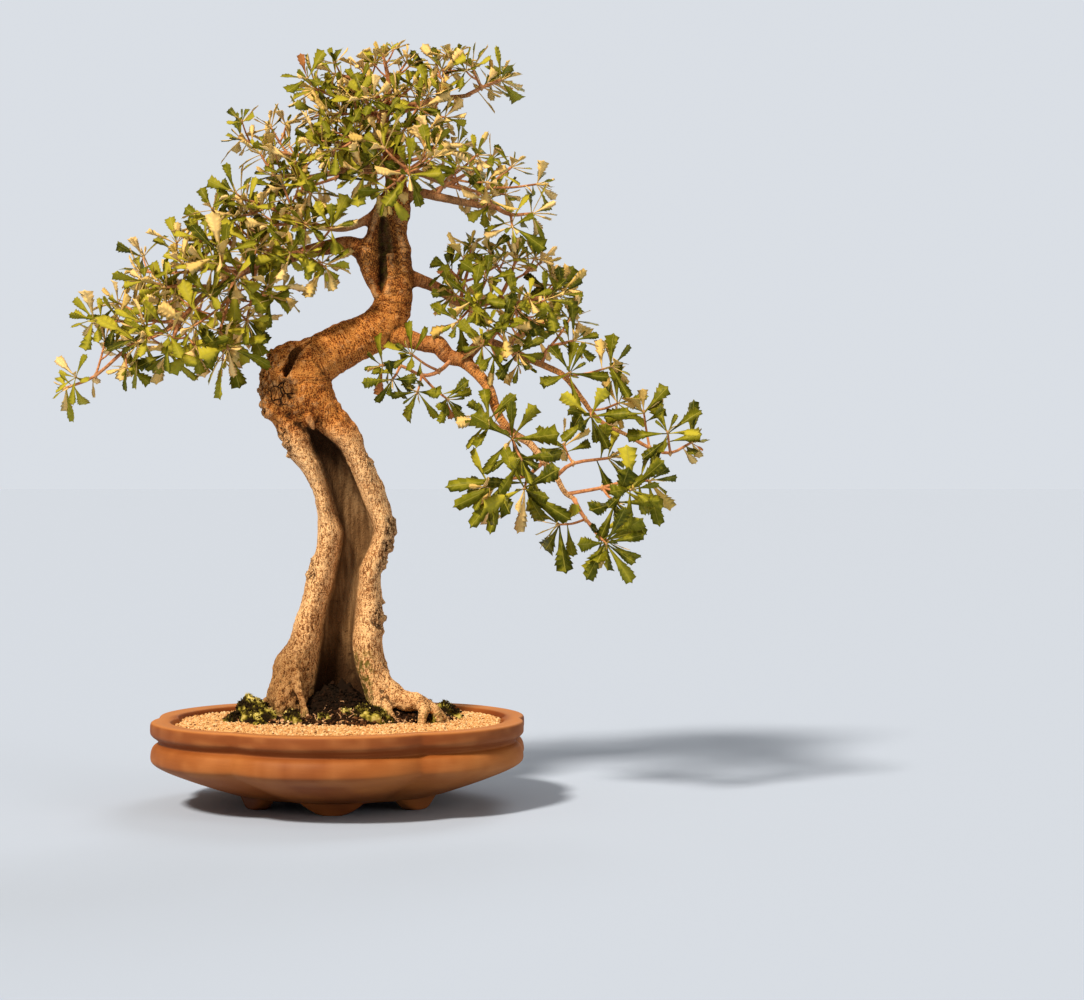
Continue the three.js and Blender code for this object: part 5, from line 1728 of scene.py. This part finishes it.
@dataclass(frozen=True)
class LeafShape:
    """The outline of one kind of leaf: widths and teeth as shares of its length."""

    half_width: float
    teeth: int
    tooth: float
    shoulder: float
    tip_width: float

    def edge(self, along: float) -> float:
        """Half the leaf's width between its teeth at a place along it."""
        opening = min(max((along - 0.1) / (self.shoulder - 0.1), 0.0), 1.0)
        closing = min(max((along - self.shoulder) / (1 - self.shoulder), 0.0), 1.0)
        broad = 0.013 + (self.half_width - 0.013) * opening**1.35
        return broad + (self.tip_width - self.half_width) * closing**1.8

    def outline(self) -> list[tuple[float, float, float]]:
        """Rows of the leaf: the midrib's place along it, the edge's place along it and the half width."""
        rows = [(0.0, 0.0, 0.014), (0.16, 0.16, 0.020), (0.34, 0.36, self.edge(0.36))]
        first, last = 0.52, 0.93
        for tooth in range(self.teeth):
            notch = first + (last - first) * tooth / self.teeth
            point = first + (last - first) * (tooth + 0.8) / self.teeth
            rows.append((notch - 0.04 * tooth / self.teeth, notch, self.edge(notch)))
            rows.append((point - 0.05, point + 0.02, self.edge(point) + self.tooth))
        rows.append((0.945, 0.95, self.tip_width * 0.5))
        return rows


@dataclass
class Leaf:
    """A leaf modelled once: a plane cut into rows either side of the midrib, drawn out to its teeth, and
    closed below by a second face that meets it along the edge."""

    shape: LeafShape

    def __post_init__(self) -> None:
        """Models the leaf."""
        rows = self.shape.outline()
        count = len(rows)
        plane = primitive(bpy.ops.mesh.primitive_grid_add, x_subdivisions=2, y_subdivisions=count, size=2.0)
        grid, faces = taken_apart(plane)
        column = np.rint(grid[:, 0]).astype(int)
        row = np.rint((grid[:, 1] + 1) / 2 * count).astype(int)
        mid_along, edge_along, width = np.array([*rows, (1.0, 1.0, 0.0)]).T
        flat = np.stack([column * width[row], np.where(column == 0, mid_along[row], edge_along[row])], axis=1)
        self.close(flat, faces, column, row, count)

    def close(self, flat: Array, faces: list, column: Array, row: Array, tip_row: int) -> None:
        """Joins the three points of the last row into the tip and adds the lower face.

        Args:
            flat: across and along of each point of the upper face.
            faces: corners of the upper face's faces.
            column: -1, 0 or 1 for each point.
            row: the row of each point.
            tip_row: the number of the last row.
        """
        tip = int(np.flatnonzero((column == 0) & (row == tip_row))[0])
        to_tip = {int(k): tip for k in np.flatnonzero(row == tip_row)}
        middle = np.flatnonzero((column == 0) & (row < tip_row))
        lower = {int(k): len(flat) + place for place, k in enumerate(middle)}
        self.across = np.concatenate([flat[:, 0], flat[middle, 0]])
        self.along = np.concatenate([flat[:, 1], flat[middle, 1]])
        self.keel = np.zeros(len(self.across))
        self.keel[len(flat) :] = 1.0
        self.faces: list[tuple[int, ...]] = []
        self.kinds: list[int] = []
        for kind, swap in ((Finish.LEAF_TOP, {}), (Finish.LEAF_UNDER, lower)):
            for face in faces:
                corners = [to_tip.get(corner, corner) for corner in face]
                corners = [corner for k, corner in enumerate(corners) if corner not in corners[:k]]
                corners = [swap.get(corner, corner) for corner in corners]
                for k in range(1, len(corners) - 1):
                    half = (corners[0], corners[k], corners[k + 1])
                    self.faces.append(half if kind is Finish.LEAF_TOP else half[::-1])
                    self.kinds.append(kind.value)
        used = sorted({corner for face in self.faces for corner in face})
        renumber = {old: new for new, old in enumerate(used)}
        self.faces = [tuple(renumber[corner] for corner in face) for face in self.faces]
        self.across, self.along, self.keel = self.across[used], self.along[used], self.keel[used]
        _, edge_along, edge_out = zip(*self.shape.outline())
        half_width = np.maximum(np.interp(self.along, edge_along, edge_out), 0.01)
        sideways = np.clip(self.across / half_width, -1, 1)
        self.uv = np.stack([0.5 + 0.5 * sideways, self.along], axis=1)


LEAF_SHAPES = [
    LeafShape(half_width=0.155, teeth=4, tooth=0.043, shoulder=0.80, tip_width=0.10),
    LeafShape(half_width=0.125, teeth=4, tooth=0.027, shoulder=0.76, tip_width=0.07),
    LeafShape(half_width=0.185, teeth=3, tooth=0.056, shoulder=0.86, tip_width=0.13),
    LeafShape(half_width=0.10, teeth=3, tooth=0.022, shoulder=0.70, tip_width=0.05),
]
BROAD, SLENDER = 0, 3


@dataclass
class Pose:
    """How one leaf stands: its root, the way it points, the way its face looks and how it is bent."""

    root: Array
    direction: Array
    face: Array
    length: float
    droop: float
    fold: float = 0.2
    roll: float = 0.0
    sway: float = 0.0
    withered: float = 0.0
    tone: float = 0.5


def unit(vector: Array) -> Array:
    """The vector at length 1."""
    return vector / max(float(np.linalg.norm(vector)), 1e-9)


def twig_frames(points: Array) -> tuple[Array, Array, Array]:
    """The way a twig points at its end, and two directions square to it.

    Args:
        points: the twig's points.

    Returns:
        The twig's axis and the two directions.
    """
    side = np.array([0.3, 1.0, 0.1])
    axis = np.array([0.0, 0.0, 1.0])
    last = len(points) - 1
    for k in range(len(points)):
        axis = unit(points[min(k + 1, last)] - points[max(k - 1, 0)])
        side = unit(side - axis * float(side @ axis))
    return axis, side, np.cross(axis, side)


REACH = from_metres(np.array(CAD_BOX))


def aimed(frames: tuple[Array, Array, Array], spread: float, turn: float) -> Array:
    """The way a leaf points, spread so far from its twig's axis and turned so far round it, in radians."""
    axis, side, other = frames
    sideways = (side * math.cos(turn) + other * math.sin(turn)) * math.sin(spread)
    return unit(axis * math.cos(spread) + sideways)


def place_on(line: Array, at: float) -> tuple[Array, int]:
    """The place that many points along a line, and the number of the point before it."""
    before = min(int(at), len(line) - 2)
    return line[before] + (line[before + 1] - line[before]) * (at - before), before


class SprayMesh(Copies):
    """Gathers the leaves, twigs and buds of one spray and makes its mesh. A point's values are its place on
    the leaf, its tone and how withered it is."""

    # No leaf reaches more than this far out of the box of the solids, in millimetres
    slack = 1.0
    thickness = 0.9

    def __init__(self, leaves: Sequence[Leaf], bud: tuple[Array, list]) -> None:
        """Starts an empty spray, for these kinds of leaf and this form of bud."""
        super().__init__()
        self.leaves = leaves
        self.bud = bud
        self.kinds: list[int] = []
        self.twigs: list[Array] = []

    def add_leaf(self, kind: int, pose: Pose) -> None:
        """Copies one leaf, bent and turned as its pose says, and shorter where it would reach too far out."""
        leaf = self.leaves[kind]
        tip = pose.root + pose.direction * pose.length
        outside = float(np.max(np.maximum(REACH[0] - tip, tip - REACH[1])))
        if outside > self.slack:
            pose.length = max(pose.length - 1.3 * outside, 0.45 * pose.length)
        normal = unit(pose.face - pose.direction * float(pose.face @ pose.direction))
        across = np.cross(normal, pose.direction)
        turned = math.cos(pose.roll) * across + math.sin(pose.roll) * normal
        normal = np.cross(pose.direction, turned)
        v = leaf.along
        u = leaf.across + pose.sway * v * v
        side = np.sign(leaf.across + 1e-9)
        wave = 0.02 * np.sin(v * 13.0 + pose.tone * 40.0) * np.abs(leaf.across) * 5 * side
        w = np.abs(leaf.across) * math.tan(pose.fold) - pose.droop * v * v + wave
        w = w - leaf.keel * (self.thickness / pose.length) * (1 - 0.55 * v)
        local = turned * u[:, None] + pose.direction * v[:, None] + normal * w[:, None]
        tones = np.full((len(v), 2), (pose.tone, pose.withered))
        self.gather(pose.root + local * pose.length, leaf.faces, np.hstack([leaf.uv, tones]))
        self.kinds.extend(leaf.kinds)

    def add_plain(self, points: Array, faces: Sequence, finish: Finish, tone: float) -> None:
        """Adds a form with one finish and tone all over."""
        self.gather(points, faces, (0.0, 0.0, tone, 0.0))
        self.kinds.extend([finish.value] * len(faces))

    def add_bud(self, place: Array, axis: Array, radius: float, tone: float) -> None:
        """Copies one bud, drawn out along its twig."""
        form, faces = self.bud
        stretched = form + axis * (form @ axis)[:, None] * 0.9
        self.add_plain(place + stretched * radius, faces, Finish.BUD, tone)

    def add_twig(self, points: Array, radii: Sequence[float]) -> None:
        """Adds a twig through the points, with its radius at each."""
        self.twigs.append(np.column_stack([points, radii]))

    def finish(self, name: str, materials: Sequence[Material]) -> Piece:
        """Makes the spray's mesh, with its twigs as tubes and its finishes in their slots."""
        points, faces = taken_apart(tubes("twigs", [through(line, 3) for line in self.twigs], 1))
        self.add_plain(from_metres(points), faces, Finish.TWIG, 0.5)
        piece = self.piece(name, "tone", "withered")
        dress(piece, *materials)
        mesh = piece.data
        mesh.polygons.foreach_set("material_index", np.array(self.kinds, np.int32))
        smooth_shade(mesh)
        corners = fetched(mesh.loops, "vertex_index", 1, np.int64)[:, 0]
        uv = np.concatenate(self.rows)[corners, 3:5]
        mesh.uv_layers.new(name="leaf").data.foreach_set("uv", uv.ravel())
        return piece


@dataclass
class Foliage:
    """All the leafy sprays of the crown, one piece for each."""

    stem_radius: float = 2.6
    twig_radii: tuple = (1.7, 1.5, 1.3)
    shoot_radius: float = 1.25
    withered_share: float = 0.004
    crown_depth: float = 160.0
    faces_back: float = 0.36
    long_leaf: float = 50.0
    number: int = 0
    habit: Habit = HABITS["left"]
    draw: random.Random = field(default_factory=lambda: random.Random(2024))
    spray: SprayMesh = field(init=False)

    def kind(self) -> int:
        """Which kind of leaf comes next."""
        return self.draw.choices(range(len(LEAF_SHAPES)), weights=(5, 4, 3, 2))[0]

    def spaced(self, place: float, count: int, slack: float) -> float:
        """The angle of one of so many places round a twig, moved by up to that share of their distance."""
        return FULL_TURN * (place + self.draw.uniform(-slack, slack)) / count

    def main_pose(self, points: Array, place: int, length: float) -> Pose:
        """The pose of a main leaf, which the part's own solid has too.

        Args:
            points: the twig's points.
            place: which of the places round the twig the leaf has.
            length: the spray's leaf length.

        Returns:
            The leaf's pose.
        """
        self.number += 1
        frames = twig_frames(points)
        turn = FULL_TURN * (place + 0.5 + 0.3 * (wobble(self.number * 3.7) - 0.5)) / WHORL_PLACES
        spread = math.radians(58 + 26 * wobble(self.number * 5.3 + place))
        size = length * (0.82 + 0.3 * wobble(self.number * 1.9))
        droop = 0.05 + 0.1 * wobble(self.number)
        return self.loosened(Pose(points[-1], aimed(frames, spread, turn), frames[0], size, droop))

    def free_pose(self, root: Array, frames: tuple, spread: float, length: float, turn: float) -> Pose:
        """The pose of a leaf that stands anywhere round a twig.

        Args:
            root: where it grows.
            frames: the twig's axis and two directions square to it.
            spread: degrees between the leaf and the twig's axis.
            length: the leaf's length.
            turn: its angle round the twig.

        Returns:
            The leaf's pose.
        """
        open_by = math.radians(spread)
        droop = self.draw.uniform(-0.08, 0.12) + 0.2 * math.sin(open_by) * self.draw.random()
        return self.loosened(Pose(root, aimed(frames, open_by, turn), frames[0], length, droop))

    def loosened(self, pose: Pose) -> Pose:
        """The pose with a leaf's own fold, roll, sway and colour, its face turned to the light."""
        close = max(float(pose.direction @ pose.face), 0.0)
        light = np.array(self.habit.light)
        if pose.direction[1] + pose.root[1] / self.crown_depth > self.faces_back:
            light[1] = -light[1]
        pose.face = pose.face * (0.25 + 1.3 * close**2) + light * (1.1 - 0.6 * close)
        pose.fold = self.draw.uniform(0.02, 0.45)
        pose.roll = self.draw.gauss(0.0, 0.4)
        if self.draw.random() < self.habit.pale_side:
            pose.roll += self.draw.choice((-1, 1)) * self.draw.uniform(1.9, 3.4)
        pose.sway = self.draw.gauss(0.0, 0.06)
        pose.tone = min(max(self.draw.gauss(self.habit.tone, 0.27), 0.02), 0.98)
        pose.withered = 1.0 if self.draw.random() < self.withered_share else 0.0
        return pose

    def loose_leaf(self, root: Array, frames: tuple, spread: tuple, length: float, turn: float) -> None:
        """Adds a leaf anywhere round a twig, spread by a number of degrees between the two given."""
        kind = self.kind()
        self.spray.add_leaf(kind, self.free_pose(root, frames, self.draw.uniform(*spread), length, turn))

    def whorl(self, points: Array, length: float, fixed: Sequence[int]) -> None:
        """Leaves round the end of a twig: the main ones, those between them, young ones and a bud.

        Args:
            points: the twig's points.
            length: the leaf length.
            fixed: places of the main leaves.
        """
        frames = twig_frames(points)
        axis, hub, draw = frames[0], points[-1], self.draw
        for place in range(WHORL_PLACES):
            turn = self.spaced(place + 0.5, WHORL_PLACES, 0.2)
            if place in fixed:
                self.spray.add_leaf(self.kind(), self.main_pose(points, place, length))
            else:
                spread, size = draw.uniform(46, 84), length * draw.uniform(0.75, 1.05)
                self.spray.add_leaf(self.kind(), self.free_pose(hub, frames, spread, size, turn))
        start = draw.uniform(0, FULL_TURN)
        for k in range(self.habit.inner):
            turn = start + self.spaced(k, self.habit.inner, 0.2)
            size = length * draw.uniform(0.42, 0.78)
            self.loose_leaf(hub + axis * 1.5, frames, (18, 46), size, turn)
        for k in range(self.habit.behind):
            back = hub - axis * draw.uniform(4, 14)
            size = length * draw.uniform(0.6, 0.95)
            self.loose_leaf(back, frames, (64, 98), size, start + FULL_TURN * (k / 3 + 0.15))
        self.spray.add_bud(hub + axis * 1.6, axis, draw.uniform(1.5, 2.1), draw.random())

    def shoot(self, start: Array, heading: Array, length: float) -> None:
        """A short shoot off a stem, with its own small whorl.

        Args:
            start: where it leaves the stem.
            heading: the way the stem runs there.
            length: the spray's leaf length.
        """
        draw = self.draw
        sideways = np.array([draw.gauss(0, 1), draw.gauss(0, 1), draw.gauss(0, 0.6)])
        sideways = unit(sideways - heading * float(sideways @ heading))
        way = unit(heading * 0.55 + sideways * 0.9 + np.array([0, 0, self.habit.upright]))
        reach = draw.uniform(0.35, 0.85) * length
        middle = start + way * reach * 0.5
        end = middle + unit(way + np.array([0, -0.1, 0.3])) * reach * 0.5
        points = np.array([start, middle, end])
        self.spray.add_twig(points, self.shoot_radius * np.array([1.0, 0.9, 0.75]))
        frames = twig_frames(points)
        small = length * draw.uniform(0.72, 0.98)
        first = draw.uniform(0, FULL_TURN)
        for k in range(5):
            turn = first + self.spaced(k, 5, 0.25)
            size = small * draw.uniform(0.75, 1.1)
            pose = self.free_pose(end, frames, draw.uniform(38, 84), size, turn)
            self.spray.add_leaf(self.kind(), pose)
        for k in range(2):
            size = small * draw.uniform(0.4, 0.7)
            self.loose_leaf(end, frames, (15, 40), size, first + math.pi * (k + 0.3))
        self.spray.add_bud(end + frames[0], frames[0], draw.uniform(1.2, 1.7), draw.random())

    def grow(self, name: str, plan: Plan) -> None:
        """Fills the spray of that name as planned."""
        length = plan.length * self.habit.growth
        limb = np.array(LIMBS[plan.limb], float)
        line = np.array([place_on(limb[:, :3], plan.at)[0], *plan.stem], float)
        at_end = plan.at >= len(limb) - 1
        stout = max(0.8 * limb[-1, 3], self.stem_radius) if at_end else self.stem_radius
        self.spray.add_twig(line, np.linspace(stout, self.twig_radii[0], len(line)))
        self.whorl(line, length, END_WHORL)
        for number, (origin, *hub) in enumerate([*plan.twigs, *plan.more_twigs]):
            start, end = line[origin], np.array(hub, float)
            middle = (start + end) / 2 + np.array([0, 0, -2.0])
            self.spray.add_twig(np.array([start, middle, end]), self.twig_radii)
            self.whorl(np.array([start, end]), length, SIDE_WHORL if number < len(plan.twigs) else ())
            if self.habit.shoots:
                self.shoot(middle, unit(end - start), length)
        for k in range(self.habit.shoots):
            share = (k + self.draw.uniform(0.3, 0.9)) / self.habit.shoots * (len(line) - 1)
            start, before = place_on(line, share)
            self.shoot(start, unit(line[before + 1] - line[before]), length)
        for x, y, z, dx, dz, size, roll, withered in SINGLE_LEAVES.get(name, []):
            way, face = unit(np.array([dx, -0.15, dz])), np.array([0.0, -1.0, 0.2])
            pose = Pose(np.array([x, y, z]), way, face, size, 0.1, 0.15, roll, withered=withered)
            self.spray.add_leaf(SLENDER if size > self.long_leaf else BROAD, pose)
        for _ in range(self.habit.shoots):
            root, before = place_on(line, self.draw.uniform(0.35, 0.95) * (len(line) - 1))
            frames = twig_frames(line[before : before + 2])
            size, turn = length * self.draw.uniform(0.6, 0.95), self.draw.uniform(0, FULL_TURN)
            self.loose_leaf(root, frames, (45, 80), size, turn)
        for point in line[1:-1]:
            self.spray.add_bud(point, np.array([0.0, 0.0, 1.0]), 2.4, self.draw.random())

    def build(self) -> None:
        """Every spray, each standing for its own node."""
        leaves = [Leaf(shape) for shape in LEAF_SHAPES]
        bud = taken_apart(ball(1))
        materials = [finish.material() for finish in (LeafTop(), LeafUnder(), TwigBark(), BUD_SCALES)]
        for part, plans in SPRAYS.items():
            self.habit = HABITS[part]
            for number, plan in enumerate(plans, 1):
                name = f"{part}_{number:02d}"
                self.spray = SprayMesh(leaves, bud)
                self.grow(name, plan)
                settle(self.spray.finish(f"foliage_{name}", materials), "leaf", f"spray_{name}")


# Room, light and camera


@dataclass(frozen=True)
class Lamp:
    """A broad soft lamp so far away that it lights the whole floor evenly."""

    name: str
    turn: float
    height: float
    power: float
    softness: float
    colour: tuple

    def build(self) -> None:
        """Hangs the lamp: turned from the front towards the right, and at its height, in degrees."""
        light = bpy.data.lights.new(self.name, "SUN")
        light.energy = self.power
        light.angle = math.radians(self.softness)
        light.color = self.colour
        lamp = linked(self.name, light)
        lamp.rotation_euler = (math.radians(90 - self.height), 0.0, math.radians(self.turn))


@dataclass(frozen=True)
class Studio:
    """A plain pale floor, soft lamps, and the camera where the photograph was taken from."""

    lens: float = 83.5
    sensor: float = 36.0
    camera_place: tuple = (0.236, -2.932, 0.393)
    tilt: float = 0.775
    floor_half: float = 40.0
    floor_colour: tuple = (0.450, 0.561, 0.761)
    backdrop: tuple = (0.70, 0.735, 0.785)
    room_light: tuple = (0.30, 0.26, 0.21)
    lamps: tuple = (
        Lamp("key", -33.0, 44.0, 4.6, 9.0, (1.0, 0.83, 0.64)),
        Lamp("fill", 58.0, 22.0, 0.55, 30.0, (1.0, 0.86, 0.70)),
        Lamp("back", 160.0, 40.0, 0.8, 25.0, (1.0, 0.90, 0.78)),
    )

    def floor(self) -> None:
        """The pale floor."""
        piece = primitive(bpy.ops.mesh.primitive_plane_add, size=2 * self.floor_half)
        piece.name = "floor"
        pale = Recipe("pale_floor", 0.95, 0.05)
        weave = pale.noise(900.0, 2.0)
        darker = tuple(0.97 * part for part in self.floor_colour)
        pale.colour = pale.ramp(weave, (0.3, darker), (0.7, self.floor_colour))
        dress(piece, pale.finished((weave, 0.05, 0.2)))

    def sky(self) -> None:
        """The pale backdrop, which lights the scene less than it shows."""
        world = bpy.data.worlds.new("room")
        world.use_nodes = True
        tree = world.node_tree
        shown = tree.nodes["Background"]
        shown.inputs["Color"].default_value = (*self.backdrop, 1.0)
        lit = tree.nodes.new("ShaderNodeBackground")
        lit.inputs["Color"].default_value = (*self.room_light, 1.0)
        seen = tree.nodes.new("ShaderNodeLightPath")
        choice = tree.nodes.new("ShaderNodeMixShader")
        tree.links.new(seen.outputs["Is Camera Ray"], choice.inputs["Fac"])
        tree.links.new(lit.outputs["Background"], choice.inputs[1])
        tree.links.new(shown.outputs["Background"], choice.inputs[2])
        tree.links.new(choice.outputs["Shader"], tree.nodes["World Output"].inputs["Surface"])
        bpy.context.scene.world = world

    def camera(self) -> None:
        """The camera at the photograph's height, distance and tilt."""
        data = bpy.data.cameras.new("camera")
        data.lens = self.lens
        data.sensor_width = self.sensor
        camera = linked("camera", data)
        camera.location = np.array(self.camera_place) + CENTRE
        camera.rotation_euler = (math.radians(90 - self.tilt), 0.0, 0.0)
        bpy.context.scene.camera = camera

    def build(self) -> None:
        """Sets the whole studio up."""
        self.floor()
        self.sky()
        self.camera()
        for lamp in self.lamps:
            lamp.build()
        bpy.context.scene.view_settings.view_transform = "Standard"


def main() -> None:
    """Sets the studio up and builds the bonsai piece by piece."""
    logging.basicConfig(level=logging.INFO, format="%(name)s: %(message)s")
    for builder in (Studio(), Pot(), DrainScreen(), Soil(), Gravel(), Moss(), Trunk(), Foliage()):
        builder.build()


if __name__ == "__main__":
    main()
